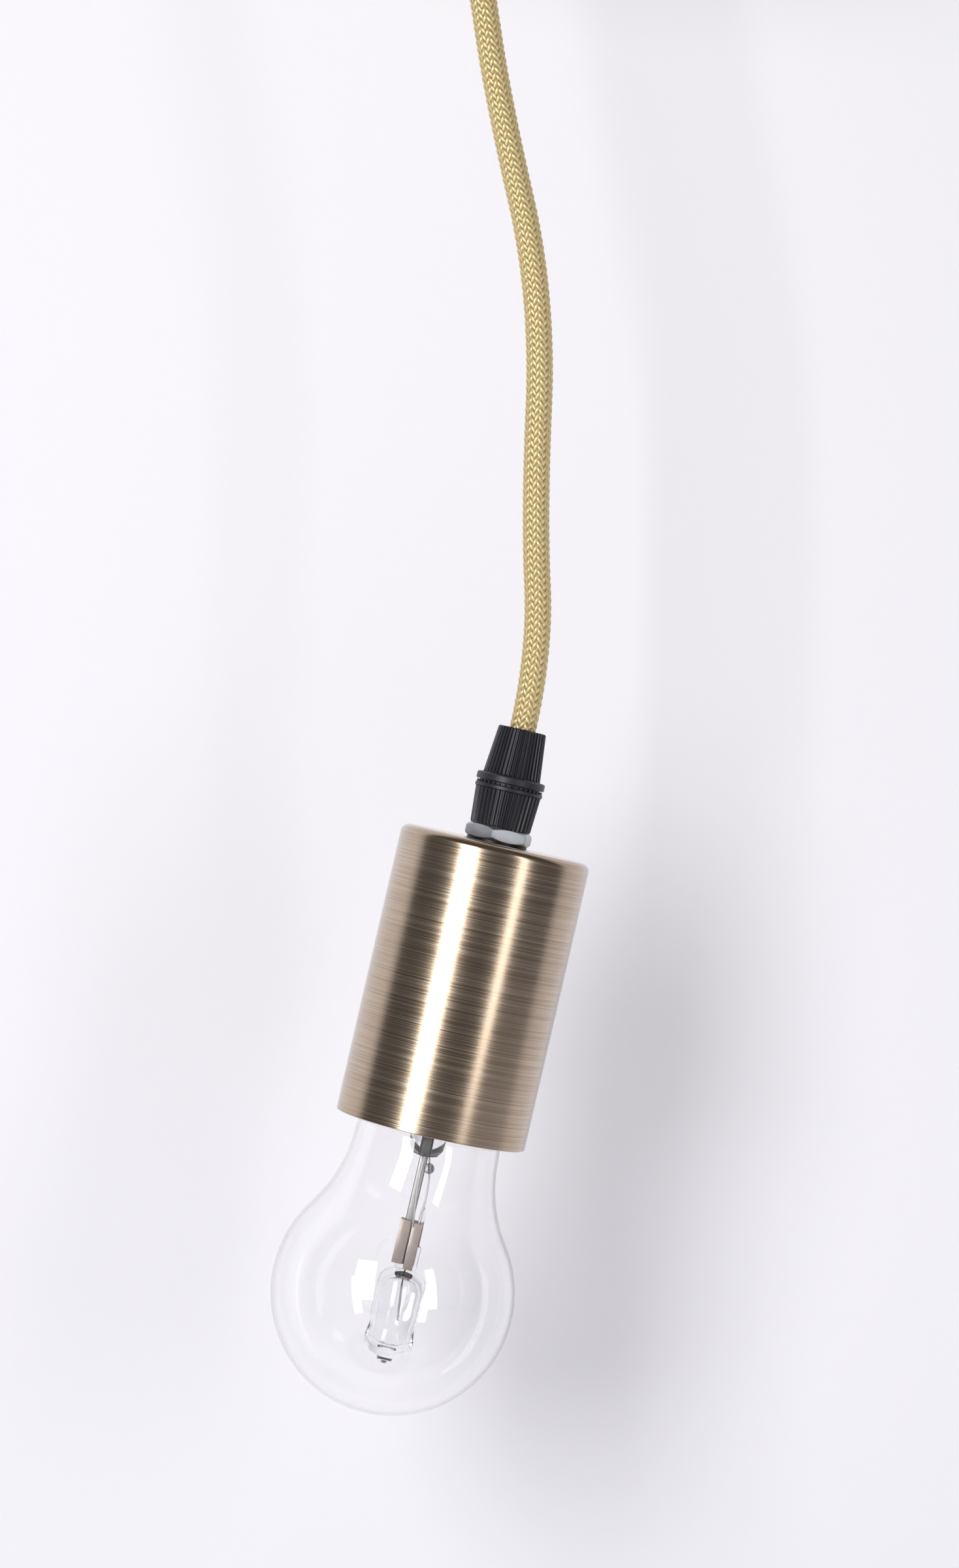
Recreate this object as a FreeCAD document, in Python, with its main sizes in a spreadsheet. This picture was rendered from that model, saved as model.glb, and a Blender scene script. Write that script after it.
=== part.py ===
"""Rise and fall pendant: a textile cord on a spring reel in a ceiling canopy carries a brass lampholder cup
and a clear capsule bulb. Millimetres. The origin is the centre of the ceiling plate's top face, with Z up.
The head's pieces are drawn upright about their own axis, at depths below the cord grip's top face."""
import FreeCAD, Part
import Sketcher
import math
import os

Vector = FreeCAD.Vector
doc = FreeCAD.newDocument("Pendant")
sheet = doc.addObject("Spreadsheet::Sheet", "sizes")
pieces = []


class Size:
    """A number together with the spreadsheet formula that gives it."""

    def __init__(self, value, formula):
        self.value = value
        self.formula = formula

    def joined(self, other, sign, value):
        return Size(value, "(" + self.formula + sign + plain(other).formula + ")")

    def __add__(self, other):
        return self.joined(other, " + ", self.value + plain(other).value)

    def __sub__(self, other):
        return self.joined(other, " - ", self.value - plain(other).value)

    def __mul__(self, other):
        return self.joined(other, " * ", self.value * plain(other).value)

    def __truediv__(self, other):
        return self.joined(other, " / ", self.value / plain(other).value)

    def __rsub__(self, other):
        return plain(other) - self

    def __neg__(self):
        return Size(-self.value, "(-1 * " + self.formula + ")")


def plain(number):
    """A bare number as a Size, so that both mix in one formula."""
    if isinstance(number, Size):
        return number
    return Size(float(number), repr(float(number)))


def size(alias, value):
    """Writes one driving dimension into the next row of the spreadsheet."""
    size.row += 1
    cell = "B" + str(size.row)
    sheet.set("A" + str(size.row), alias)
    sheet.set(cell, str(value))
    sheet.setAlias(cell, alias)
    return Size(float(value), "sizes." + alias)


size.row = 0
ZERO = plain(0)

# ---- clearances shared by every fit
running_fit = size("running_fit", 0.08)
seat_gap = size("seat_gap", 0.05)
soft_gap = size("soft_gap", 0.3)

# ---- cord
cord_radius = size("cord_radius", 3.1)
cord_bore_gap = size("cord_bore_gap", 0.25)
cord_run_points = [
    (0.0, 0.0),
    (0.0, 18.0),
    (5.0, 44.0),
    (9.2, 72.5),
    (19.4, 117.0),
    (17.3, 166.0),
    (18.75, 196.8),
    (14.7, 214.3),
]
head_tilt = size("head_tilt", 13.0)

# ---- ceiling canopy and plate
canopy_radius = size("canopy_radius", 59.0)
canopy_wall = size("canopy_wall", 1.0)
canopy_height = size("canopy_height", 82.0)
canopy_edge = size("canopy_edge", 1.4)
canopy_ceiling_gap = size("canopy_ceiling_gap", 0.5)
plate_thickness = size("plate_thickness", 2.0)
plate_rim_wall = size("plate_rim_wall", 1.5)
plate_rim_depth = size("plate_rim_depth", 12.0)
mounting_offset = size("mounting_offset", 44.0)
mounting_radius = size("mounting_radius", 2.6)
cable_hole_offset = size("cable_hole_offset", 44.0)
cable_hole_radius = size("cable_hole_radius", 7.0)
side_screw_count = 3
side_screw_turn = size("side_screw_turn", 30.0)
side_screw_radius = size("side_screw_radius", 2.0)
side_screw_head_radius = size("side_screw_head_radius", 4.0)
side_screw_head_height = size("side_screw_head_height", 3.5)
side_screw_length = size("side_screw_length", 8.0)
side_screw_depth = size("side_screw_depth", 6.5)
plate_radius = canopy_radius - canopy_wall - soft_gap

# ---- outlet bush
bush_flange_radius = size("bush_flange_radius", 9.0)
bush_flange_height = size("bush_flange_height", 1.6)
bush_nose_radius = size("bush_nose_radius", 5.6)
bush_shank_radius = size("bush_shank_radius", 5.9)
bush_shank_height = size("bush_shank_height", 6.5)
bush_nut_flats = size("bush_nut_flats", 15.0)
bush_nut_height = size("bush_nut_height", 3.0)
bush_nose_length = size("bush_nose_length", 4.0)
outlet_depth = canopy_height + bush_nose_length

# ---- reel
winding_turn_count = 5
lead_turn = size("lead_turn", 40.0)
barrel_radius = size("barrel_radius", 12.2)
drum_flange_radius = size("drum_flange_radius", 27.0)
drum_flange_thickness = size("drum_flange_thickness", 2.0)
drum_inner_half = size("drum_inner_half", 16.0)
drum_level = size("drum_level", -32.0)
axle_radius = size("axle_radius", 4.0)
spring_cup_radius = size("spring_cup_radius", 24.0)
spring_cup_wall = size("spring_cup_wall", 1.5)
spring_cup_depth = size("spring_cup_depth", 10.0)
spring_inner_radius = size("spring_inner_radius", 9.0)
spring_cover_thickness = size("spring_cover_thickness", 1.0)
spigot_radius = size("spigot_radius", 11.0)
spigot_length = size("spigot_length", 9.0)
ring_count = 3
ring_radius = size("ring_radius", 13.0)
ring_width = size("ring_width", 1.6)
ring_pitch = size("ring_pitch", 3.0)
frame_thickness = size("frame_thickness", 2.0)
frame_half_width = size("frame_half_width", 13.0)
frame_side_gap = size("frame_side_gap", 2.0)
rivet_radius = size("rivet_radius", 2.0)
rivet_head_radius = size("rivet_head_radius", 3.4)
rivet_head_height = size("rivet_head_height", 1.2)
rivet_offset_x = size("rivet_offset_x", 8.6)
rivet_offset_y = size("rivet_offset_y", 11.0)
axle_end_length = size("axle_end_length", 1.5)
press_gap = size("press_gap", 0.02)
clip_radius = size("clip_radius", 6.5)
clip_thickness = size("clip_thickness", 1.0)

lead_radius_on_drum = barrel_radius + seat_gap + cord_radius * 2 + soft_gap + cord_radius
drum_x = -lead_radius_on_drum
spring_side = drum_inner_half + drum_flange_thickness + spring_cup_depth + spring_cover_thickness
ring_side = drum_inner_half + drum_flange_thickness + spigot_length
frame_front = -(ring_side + frame_side_gap)
frame_back = spring_side + frame_side_gap

# ---- wiring in the ceiling unit
block_x = size("block_x", 21.0)
block_length = size("block_length", 16.0)
block_half_width = size("block_half_width", 14.0)
block_height = size("block_height", 14.0)
terminal_pitch = size("terminal_pitch", 9.0)
terminal_depth = size("terminal_depth", 7.0)
insert_half = size("insert_half", 2.3)
insert_screw_recess = size("insert_screw_recess", 0.5)
insert_bore = size("insert_bore", 1.5)
insert_screw_radius = size("insert_screw_radius", 1.6)
brush_block_left = size("brush_block_left", 6.0)
brush_block_right = size("brush_block_right", 15.0)
brush_block_height = size("brush_block_height", 11.0)
brush_width = size("brush_width", 1.2)
brush_length = size("brush_length", 4.0)
wire_radius = size("wire_radius", 0.9)
wire_end_depth = size("wire_end_depth", 6.0)
earth_screw_x = size("earth_screw_x", 20.0)
earth_screw_y = size("earth_screw_y", -34.0)
earth_screw_radius = size("earth_screw_radius", 2.0)
earth_head_radius = size("earth_head_radius", 3.5)
earth_head_height = size("earth_head_height", 2.4)

# ---- cord grip, depths below its top face
rib_count = 40
rib_depth = size("rib_depth", 0.3)
cap_top_radius = size("cap_top_radius", 5.45)
cap_base_radius = size("cap_base_radius", 6.55)
cap_cone_depth = size("cap_cone_depth", 11.0)
collar_radius = size("collar_radius", 7.8)
collar_height = size("collar_height", 1.7)
collar_gap = size("collar_gap", 0.6)
cap_crown = size("cap_crown", 4.0)
neck_radius = size("neck_radius", 4.85)
neck_slot = size("neck_slot", 1.0)
neck_slot_depth = size("neck_slot_depth", 6.0)
tooth_count = 36
tooth_height = size("tooth_height", 0.4)
tooth_length = size("tooth_length", 0.8)
tooth_width = size("tooth_width", 0.5)
grip_flange_radius = size("grip_flange_radius", 7.7)
grip_flange_height = size("grip_flange_height", 1.1)
grip_top_radius = size("grip_top_radius", 7.45)
grip_base_radius = size("grip_base_radius", 6.85)
grip_cone_height = size("grip_cone_height", 8.2)
nipple_engagement = size("nipple_engagement", 5.6)

# ---- nut, washer and nipple
nipple_radius = size("nipple_radius", 5.0)
nipple_bore = size("nipple_bore", 3.5)
nut_flats = size("nut_flats", 14.0)
nut_height = size("nut_height", 3.1)
nut_chamfer = size("nut_chamfer", 0.7)
nut_chamfer_slope = size("nut_chamfer_slope", 0.75)
nut_turn = size("nut_turn", 20.0)
washer_radius = size("washer_radius", 6.9)
washer_thickness = size("washer_thickness", 0.5)
nipple_below_cup = size("nipple_below_cup", 8.5)
cord_stub = size("cord_stub", 1.5)

# ---- lampholder cup and holder
cup_radius = size("cup_radius", 21.7)
cup_length = size("cup_length", 66.0)
cup_wall = size("cup_wall", 0.8)
cup_top_thickness = size("cup_top_thickness", 1.0)
cup_edge = size("cup_edge", 1.9)
holder_clearance = size("holder_clearance", 1.7)
holder_radius = cup_radius - cup_wall - holder_clearance
holder_wall = size("holder_wall", 1.8)
holder_crown_radius = size("holder_crown_radius", 10.0)
holder_crown_depth = size("holder_crown_depth", 7.7)
holder_cap_length = size("holder_cap_length", 21.7)
holder_body_length = size("holder_body_length", 37.0)
spigot_rise = size("spigot_rise", 3.0)
shelf_drop = size("shelf_drop", 3.0)
shelf_thickness = size("shelf_thickness", 5.0)
wire_way_radius = size("wire_way_radius", 2.4)
shell_inner_radius = size("shell_inner_radius", 13.6)
shell_wall = size("shell_wall", 0.6)
shell_length = size("shell_length", 27.4)
shell_mouth_radius = size("shell_mouth_radius", 8.6)
contact_width = size("contact_width", 6.0)
contact_thickness = size("contact_thickness", 0.5)
contact_rise = size("contact_rise", 3.4)
contact_start = size("contact_start", -7.8)
contact_bend = size("contact_bend", -3.0)
contact_nose = size("contact_nose", 1.0)
contact_end = size("contact_end", 4.0)
post_radius = size("post_radius", 1.2)
centre_post_x = size("centre_post_x", -6.3)
shell_post_x = size("shell_post_x", 10.4)
terminal_x = size("terminal_x", 8.8)
terminal_length = size("terminal_length", 6.0)
terminal_width = size("terminal_width", 5.0)
terminal_height = size("terminal_height", 4.4)
terminal_head_radius = size("terminal_head_radius", 1.9)
terminal_head_height = size("terminal_head_height", 1.2)
core_radius = size("core_radius", 1.1)
core_offset = size("core_offset", 1.35)

# ---- bulb, depths below the holder's shelf and the belly's centre
tip_gap = size("tip_gap", 0.4)
tip_radius = size("tip_radius", 4.6)
tip_height = size("tip_height", 1.2)
insulator_height = size("insulator_height", 3.0)
insulator_radius = size("insulator_radius", 10.0)
insulator_face_width = size("insulator_face_width", 1.8)
bulb_cap_radius = size("bulb_cap_radius", 13.1)
bulb_cap_wall = size("bulb_cap_wall", 0.4)
bulb_cap_taper = size("bulb_cap_taper", 3.5)
bulb_cap_length = size("bulb_cap_length", 21.5)
bulb_cap_flare = size("bulb_cap_flare", 1.4)
bulb_cap_flare_length = size("bulb_cap_flare_length", 2.8)
neck_flare_width = size("neck_flare_width", 3.6)
neck_flare_base = size("neck_flare_base", 2.2)
neck_flare_top = size("neck_flare_top", 2.0)
belly_radius = size("belly_radius", 27.5)
belly_drop = size("belly_drop", 68.7)
shoulder_angle = size("shoulder_angle", 35.0)
throat_angle = size("throat_angle", 3.0)
throat_radius = size("throat_radius", 33.1)
glass_wall = size("glass_wall", 0.6)
seal_radius = size("seal_radius", 12.4)
seal_depth = size("seal_depth", 14.7)
belly_chords = 6
throat_chords = 3
stem_radius = size("stem_radius", 4.2)
stem_length = size("stem_length", 22.5)
stem_flare_length = size("stem_flare_length", 8.0)
strip_half_width = size("strip_half_width", 0.92)
strip_thickness = size("strip_thickness", 1.2)
strip_length = size("strip_length", 24.3)
plate_left = size("plate_left", -1.9)
plate_right = size("plate_right", 3.1)
plate_length = size("plate_length", 10.0)
plate_gauge = size("plate_gauge", 0.4)
capsule_x = size("capsule_x", 1.5)
capsule_radius = size("capsule_radius", 5.5)
capsule_waist = size("capsule_waist", 5.1)
capsule_bulge = size("capsule_bulge", 5.6)
capsule_wall = size("capsule_wall", 1.1)
capsule_top = size("capsule_top", 1.6)
capsule_roof = size("capsule_roof", 2.0)
capsule_length = size("capsule_length", 12.3)
capsule_bulge_length = size("capsule_bulge_length", 6.6)
exhaust_radius = size("exhaust_radius", 1.8)
exhaust_length = size("exhaust_length", 1.9)
pinch_width = size("pinch_width", 5.0)
pinch_thickness = size("pinch_thickness", 2.2)
wire_gauge = size("wire_gauge", 0.35)
lead_spacing = size("lead_spacing", 1.5)
lead_offset = size("lead_offset", 2.6)
lead_overlap = size("lead_overlap", 2.0)
filament_radius = size("filament_radius", 0.4)
filament_lean = size("filament_lean", 0.7)

# ---- depths down the head
collar_base = cap_cone_depth + collar_height
flange_top = collar_base + collar_gap
grip_cone_top = flange_top + grip_flange_height
grip_base = grip_cone_top + grip_cone_height
nut_top = grip_base + seat_gap
nut_base = nut_top + nut_height
cup_top = nut_base + washer_thickness
cup_rim = cup_top + cup_length
holder_top = cup_top + cup_top_thickness
holder_split = holder_top + holder_cap_length
shelf_top = holder_split + shelf_drop
shelf_base = shelf_top + shelf_thickness
holder_rim = holder_split + holder_body_length
contact_tip = shelf_base + contact_rise + contact_thickness
bulb_base = contact_tip + tip_gap
insulator_base = bulb_base + tip_height + insulator_height
bulb_cap_base = insulator_base + bulb_cap_length + bulb_cap_taper
belly_centre = bulb_base + belly_drop
seal_top = bulb_base + seal_depth
stem_base = seal_top + stem_length
strip_base = stem_base + strip_length
capsule_shoulder = strip_base + capsule_top
capsule_base = capsule_shoulder + capsule_length
nipple_top = grip_base - nipple_engagement
nipple_base = holder_top + nipple_below_cup
cord_end = nipple_base + cord_stub


# ---- making and placing
def bind(thing, prop, amount):
    """Ties one property to the spreadsheet."""
    thing.setExpression(prop, plain(amount).formula)


def place_by_sizes(thing, position):
    for axis, amount in zip("xyz", position):
        bind(thing, "Placement.Base." + axis, amount)


def cylinder(name, radius, height, position):
    """An upright cylinder standing on a position."""
    made = doc.addObject("Part::Cylinder", name)
    bind(made, "Radius", radius)
    bind(made, "Height", height)
    place_by_sizes(made, position)
    return made


def box(name, spans):
    """A box from its low and high limits along X, Y and Z."""
    made = doc.addObject("Part::Box", name)
    for prop, span in zip(("Length", "Width", "Height"), spans):
        bind(made, prop, plain(span[1]) - span[0])
    place_by_sizes(made, [span[0] for span in spans])
    return made


def rod(name, radius, start, end):
    """A cylinder between two points given as sizes."""
    first = Vector(*[plain(part).value for part in start])
    last = Vector(*[plain(part).value for part in end])
    made = doc.addObject("Part::Cylinder", name)
    bind(made, "Radius", radius)
    made.Height = (last - first).Length
    made.Placement = FreeCAD.Placement(first, FreeCAD.Rotation(Vector(0, 0, 1), last - first))
    return made


def cut(name, base, tool):
    made = doc.addObject("Part::Cut", name)
    made.Base = base
    made.Tool = tool
    return made


def common(name, base, tool):
    made = doc.addObject("Part::Common", name)
    made.Base = base
    made.Tool = tool
    return made


def fuse(name, shapes):
    made = doc.addObject("Part::MultiFuse", name)
    made.Shapes = shapes
    made.Refine = True
    return made


def group(name, shapes):
    """Several separate solids kept together as one piece."""
    made = doc.addObject("Part::Compound", name)
    made.Links = shapes
    return made


def from_shape(name, shape):
    made = doc.addObject("Part::Feature", name)
    made.Shape = shape
    return made


def origin_plane(body, role):
    return [item for item in body.Origin.OriginFeatures if item.Role == role][0]


def pin_point(sketch, line, end, across, up):
    """Fixes one end of a sketch line by its two distances from the sketch's origin."""
    for kind, amount in (("DistanceX", plain(across)), ("DistanceY", plain(up))):
        if amount.value == 0 and kind == "DistanceX":
            sketch.addConstraint(Sketcher.Constraint("PointOnObject", line, end, -2))
            continue
        index = sketch.addConstraint(Sketcher.Constraint(kind, line, end, amount.value))
        sketch.setExpression("Constraints[" + str(index) + "]", amount.formula)


def closed_outline(body, name, corners):
    """A closed sketch in the XZ plane whose corners are all tied to sizes."""
    sketch = body.newObject("Sketcher::SketchObject", name)
    sketch.AttachmentSupport = [(origin_plane(body, "XZ_Plane"), "")]
    sketch.MapMode = "FlatFace"
    points = [Vector(plain(across).value, plain(up).value, 0) for across, up in corners]
    for index, point in enumerate(points):
        sketch.addGeometry(Part.LineSegment(point, points[(index + 1) % len(points)]), False)
    for index in range(len(points)):
        following = (index + 1) % len(points)
        sketch.addConstraint(Sketcher.Constraint("Coincident", index, 2, following, 1))
    for index, (across, up) in enumerate(corners):
        pin_point(sketch, index, 1, across, up)
    return sketch


def turned(name, corners):
    """A lathe-turned body: the outline's corners are radii and levels."""
    body = doc.addObject("PartDesign::Body", name)
    sketch = closed_outline(body, name + "_outline", corners)
    revolve = body.newObject("PartDesign::Revolution", name + "_turn")
    revolve.Profile = sketch
    revolve.ReferenceAxis = (sketch, ["V_Axis"])
    revolve.Angle = 360
    doc.recompute()
    return body


def below(corners):
    """Outline corners given as radius and depth, as radius and level."""
    return [(radius, -plain(depth)) for radius, depth in corners]


def rounded_rim(body, radius, level, amount):
    """Rounds a turned body's circular edge at a radius and level."""
    base = body.Tip
    wanted = [
        "Edge" + str(number + 1)
        for number, edge in enumerate(base.Shape.Edges)
        if edge.Curve.TypeId == "Part::GeomCircle"
        and abs(edge.Curve.Radius - radius.value) < 1e-6
        and abs(edge.CenterOfMass.z - level.value) < 1e-6
    ]
    fillet = body.newObject("PartDesign::Fillet", body.Name + "_rounding")
    fillet.Base = (base, wanted)
    bind(fillet, "Radius", amount)
    doc.recompute()


def extruded(name, corners, half_width):
    """A bar whose outline lies in XZ, centred across Y."""
    body = doc.addObject("PartDesign::Body", name)
    sketch = closed_outline(body, name + "_outline", corners)
    pad = body.newObject("PartDesign::Pad", name + "_pad")
    pad.Profile = sketch
    bind(pad, "Length", plain(half_width) * 2)
    pad.Midplane = True
    doc.recompute()
    return body


def ribbed_cone(name, top_radius, base_radius, top_depth, base_depth):
    """A tapered sleeve with fine vee-shaped ribs, lofted between two toothed outlines."""
    wires = []
    for radius, depth in ((base_radius, base_depth), (top_radius, top_depth)):
        points = []
        for step in range(2 * rib_count + 1):
            angle = math.pi * step / rib_count
            reach = radius.value - rib_depth.value * (step % 2)
            points.append(Vector(reach * math.cos(angle), reach * math.sin(angle), -plain(depth).value))
        wires.append(Part.makePolygon(points))
    return from_shape(name, Part.makeLoft(wires, True, True))


def tube(name, points, radius):
    """A cord along straight runs joined by tangent arcs, as large as the runs allow."""
    share = 0.45
    edges = []
    start = points[0]
    for before, corner, after in zip(points, points[1:], points[2:]):
        arriving = corner - before
        leaving = after - corner
        reach = share * min(arriving.Length, leaving.Length)
        turn = arriving.getAngle(leaving)
        bend_radius = reach / math.tan(turn / 2)
        print(name, "bend radius", round(bend_radius, 1))
        arriving.normalize()
        leaving.normalize()
        arc_start = corner - arriving * reach
        arc_end = corner + leaving * reach
        inward = leaving - arriving
        inward.normalize()
        middle = corner + inward * (bend_radius / math.cos(turn / 2) - bend_radius)
        edges.append(Part.LineSegment(start, arc_start).toShape())
        edges.append(Part.Arc(arc_start, middle, arc_end).toShape())
        start = arc_end
    edges.append(Part.LineSegment(start, points[-1]).toShape())
    return swept(name, Part.Wire(edges), points[0], points[1] - points[0], radius)


def swept(name, path, start, direction, radius):
    section = Part.Wire([Part.makeCircle(radius.value, start, direction)])
    solid = path.makePipeShell([section], True, False)
    expected = math.pi * radius.value ** 2 * path.Length
    print(name, "length", round(path.Length, 1), "volume share", round(solid.Volume / expected, 4))
    return from_shape(name, solid)


def keep(piece, label, placement=None):
    """Names a finished piece and sets it in its place."""
    piece.Label = label
    if placement is not None:
        piece.Placement = placement
    pieces.append(piece)
    return piece


along_y = FreeCAD.Rotation(Vector(1, 0, 0), -90)
reel_place = FreeCAD.Placement(Vector(drum_x.value, 0, drum_level.value), along_y)
cord_points = [Vector(x, 0, -outlet_depth.value - drop) for x, drop in cord_run_points]
head_place = FreeCAD.Placement(cord_points[-1], FreeCAD.Rotation(Vector(0, 1, 0), head_tilt.value))


# ---- ceiling unit
def ceiling_plate():
    radius = plate_radius
    disc = turned(
        "plate_disc",
        below(
            [
                (ZERO, ZERO),
                (radius, ZERO),
                (radius, plate_rim_depth),
                (radius - plate_rim_wall, plate_rim_depth),
                (radius - plate_rim_wall, plate_thickness),
                (ZERO, plate_thickness),
            ]
        ),
    )
    low = -plate_thickness * 2
    deep = plate_thickness * 3
    holes = [cylinder("cable_hole", cable_hole_radius, deep, (cable_hole_offset, ZERO, low))]
    for side in (-1, 1):
        spot = (ZERO, mounting_offset * side, low)
        holes.append(cylinder("mounting_hole", mounting_radius, deep, spot))
    for spot in rivet_spots():
        holes.append(cylinder("plate_rivet_hole", rivet_radius + running_fit, deep, (*spot, low)))
    spot = (earth_screw_x, earth_screw_y, low)
    holes.append(cylinder("earth_hole", earth_screw_radius + running_fit, deep, spot))
    holes += side_screw_holes("plate_side_hole")
    keep(cut("ceiling_plate", disc, fuse("plate_holes", holes)), "ceiling_plate")


def side_screw_rods(name, radius, inner, outer):
    """One radial rod at each of the canopy's side screws."""
    rods = []
    for number in range(side_screw_count):
        angle = math.radians(side_screw_turn.value + 360 / side_screw_count * number)
        facing = Vector(math.cos(angle), math.sin(angle), 0)
        low = Vector(0, 0, -side_screw_depth.value)
        rods.append(rod(name, radius, low + facing * inner.value, low + facing * outer.value))
    return rods


def side_screw_holes(name):
    """Clearance holes for the side screws, right through the plate's rim and the canopy's wall."""
    inner = plate_radius - side_screw_length
    outer = canopy_radius + canopy_wall
    return side_screw_rods(name, side_screw_radius + running_fit, inner, outer)


def canopy():
    inner = canopy_radius - canopy_wall
    floor = canopy_height - canopy_wall
    hole = bush_shank_radius + running_fit
    body = turned(
        "canopy_shell",
        below(
            [
                (inner, canopy_ceiling_gap),
                (canopy_radius, canopy_ceiling_gap),
                (canopy_radius, canopy_height - canopy_edge),
                (canopy_radius - canopy_edge, canopy_height),
                (hole, canopy_height),
                (hole, floor),
                (inner, floor),
            ]
        ),
    )
    keep(cut("canopy", body, fuse("canopy_holes", side_screw_holes("canopy_side_hole"))), "canopy")


def canopy_screws():
    seat = canopy_radius + seat_gap
    shanks = side_screw_rods("side_screw_shank", side_screw_radius, seat - side_screw_length, seat)
    heads = side_screw_rods("side_screw_head", side_screw_head_radius, seat, seat + side_screw_head_height)
    screws = [fuse("side_screw", pair) for pair in zip(shanks, heads)]
    keep(group("canopy_screws", screws), "canopy_screws")


def outlet_bush():
    bore = cord_radius + cord_bore_gap
    shank_top = canopy_height - bush_shank_height
    corners = [
        (bore, shank_top),
        (bush_shank_radius, shank_top),
        (bush_shank_radius, canopy_height + seat_gap),
        (bush_flange_radius, canopy_height + seat_gap),
        (bush_flange_radius, canopy_height + bush_flange_height),
        (bush_nose_radius, outlet_depth),
        (bore, outlet_depth),
    ]
    keep(turned("outlet_bush", below(corners)), "outlet_bush")


def bush_nut():
    low = -canopy_height + canopy_wall + seat_gap
    prism = doc.addObject("Part::Prism", "bush_nut_prism")
    prism.Polygon = 6
    bind(prism, "Circumradius", bush_nut_flats / math.sqrt(3))
    bind(prism, "Height", bush_nut_height)
    place_by_sizes(prism, (ZERO, ZERO, low))
    hole = cylinder("bush_nut_hole", bush_shank_radius + running_fit, bush_nut_height, (ZERO, ZERO, low))
    keep(cut("bush_nut", prism, hole), "bush_nut")


def rivet_spots():
    columns = (drum_x - rivet_offset_x, drum_x + rivet_offset_x)
    return [(x, rivet_offset_y * side) for x in columns for side in (-1, 1)]


def reel_frame():
    left = drum_x - frame_half_width
    right = drum_x + frame_half_width
    top = -plate_thickness
    under = top - frame_thickness
    front = frame_front - frame_thickness
    back = frame_back + frame_thickness
    shapes = [box("frame_web", ((left, right), (front, back), (under, top)))]
    holes = []
    for near, far in ((front, frame_front), (frame_back, back)):
        shapes.append(box("frame_cheek", ((left, right), (near, far), (drum_level, top))))
        end = cylinder("cheek_end", frame_half_width, frame_thickness, (drum_x, near, drum_level))
        end.Placement.Rotation = along_y
        shapes.append(end)
        hole = cylinder("axle_hole", axle_radius + running_fit, frame_thickness, (drum_x, near, drum_level))
        hole.Placement.Rotation = along_y
        holes.append(hole)
    for spot in rivet_spots():
        start = (*spot, under - frame_thickness)
        holes.append(cylinder("web_rivet_hole", rivet_radius + running_fit, frame_thickness * 3, start))
    keep(cut("reel_frame", fuse("frame_solid", shapes), fuse("frame_holes", holes)), "reel_frame")


def frame_rivets():
    rivets = []
    under = -plate_thickness - frame_thickness - seat_gap
    for spot in rivet_spots():
        shank = cylinder("rivet_shank", rivet_radius, -under - seat_gap, (*spot, under))
        head_spot = (*spot, under - rivet_head_height)
        head = cylinder("rivet_head", rivet_head_radius, rivet_head_height, head_spot)
        rivets.append(fuse("rivet", [shank, head]))
    keep(group("frame_rivets", rivets), "frame_rivets")


def reel_axle():
    clip_room = frame_thickness + clip_thickness + axle_end_length
    front = frame_front - clip_room
    axle = cylinder("reel_axle", axle_radius, frame_back + clip_room - front, (drum_x, front, drum_level))
    axle.Placement.Rotation = along_y
    keep(axle, "reel_axle")


def axle_clips():
    clips = []
    bore = axle_radius + press_gap
    front = frame_front - frame_thickness - seat_gap - clip_thickness
    for low in (front, frame_back + frame_thickness + seat_gap):
        ring = turned(
            "axle_clip",
            [
                (bore, ZERO),
                (clip_radius, ZERO),
                (clip_radius, clip_thickness),
                (bore, clip_thickness),
            ],
        )
        ring.Placement = FreeCAD.Placement(Vector(drum_x.value, low.value, drum_level.value), along_y)
        clips.append(ring)
    keep(group("axle_clips", clips), "axle_clips")


def drum():
    bore = axle_radius + running_fit
    flange = drum_inner_half + drum_flange_thickness
    floor = flange + seat_gap
    cup_mouth = flange + spring_cup_depth
    corners = [
        (bore, -(flange + spigot_length)),
        (spigot_radius, -(flange + spigot_length)),
        (spigot_radius, -flange),
        (drum_flange_radius, -flange),
        (drum_flange_radius, -drum_inner_half),
        (barrel_radius, -drum_inner_half),
        (barrel_radius, drum_inner_half),
        (drum_flange_radius, drum_inner_half),
        (drum_flange_radius, flange),
        (spring_cup_radius, flange),
        (spring_cup_radius, cup_mouth),
        (spring_cup_radius - spring_cup_wall, cup_mouth),
        (spring_cup_radius - spring_cup_wall, floor),
        (bore, floor),
    ]
    keep(turned("drum", corners), "drum", reel_place)


def power_spring():
    low = drum_inner_half + drum_flange_thickness + seat_gap * 2
    high = drum_inner_half + drum_flange_thickness + spring_cup_depth - soft_gap
    outer = spring_cup_radius - spring_cup_wall - soft_gap
    corners = [(spring_inner_radius, low), (outer, low), (outer, high), (spring_inner_radius, high)]
    keep(turned("power_spring", corners), "power_spring", reel_place)


def spring_cover():
    low = drum_inner_half + drum_flange_thickness + spring_cup_depth
    bore = axle_radius + soft_gap
    high = low + spring_cover_thickness
    corners = [(bore, low), (spring_cup_radius, low), (spring_cup_radius, high), (bore, high)]
    keep(turned("spring_cover", corners), "spring_cover", reel_place)


def slip_rings():
    rings = []
    inner = spigot_radius + press_gap
    for middle in ring_centres():
        low = middle - ring_width / 2
        high = middle + ring_width / 2
        ring = turned("slip_ring", [(inner, low), (ring_radius, low), (ring_radius, high), (inner, high)])
        ring.Placement = reel_place
        rings.append(ring)
    keep(group("slip_rings", rings), "slip_rings")


def cord_winding():
    inner = barrel_radius + seat_gap
    outer = inner + cord_radius * 2
    half = cord_radius * winding_turn_count
    corners = [(inner, -half), (outer, -half), (outer, half), (inner, half)]
    keep(turned("cord_winding", corners), "cord_winding", reel_place)


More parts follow.
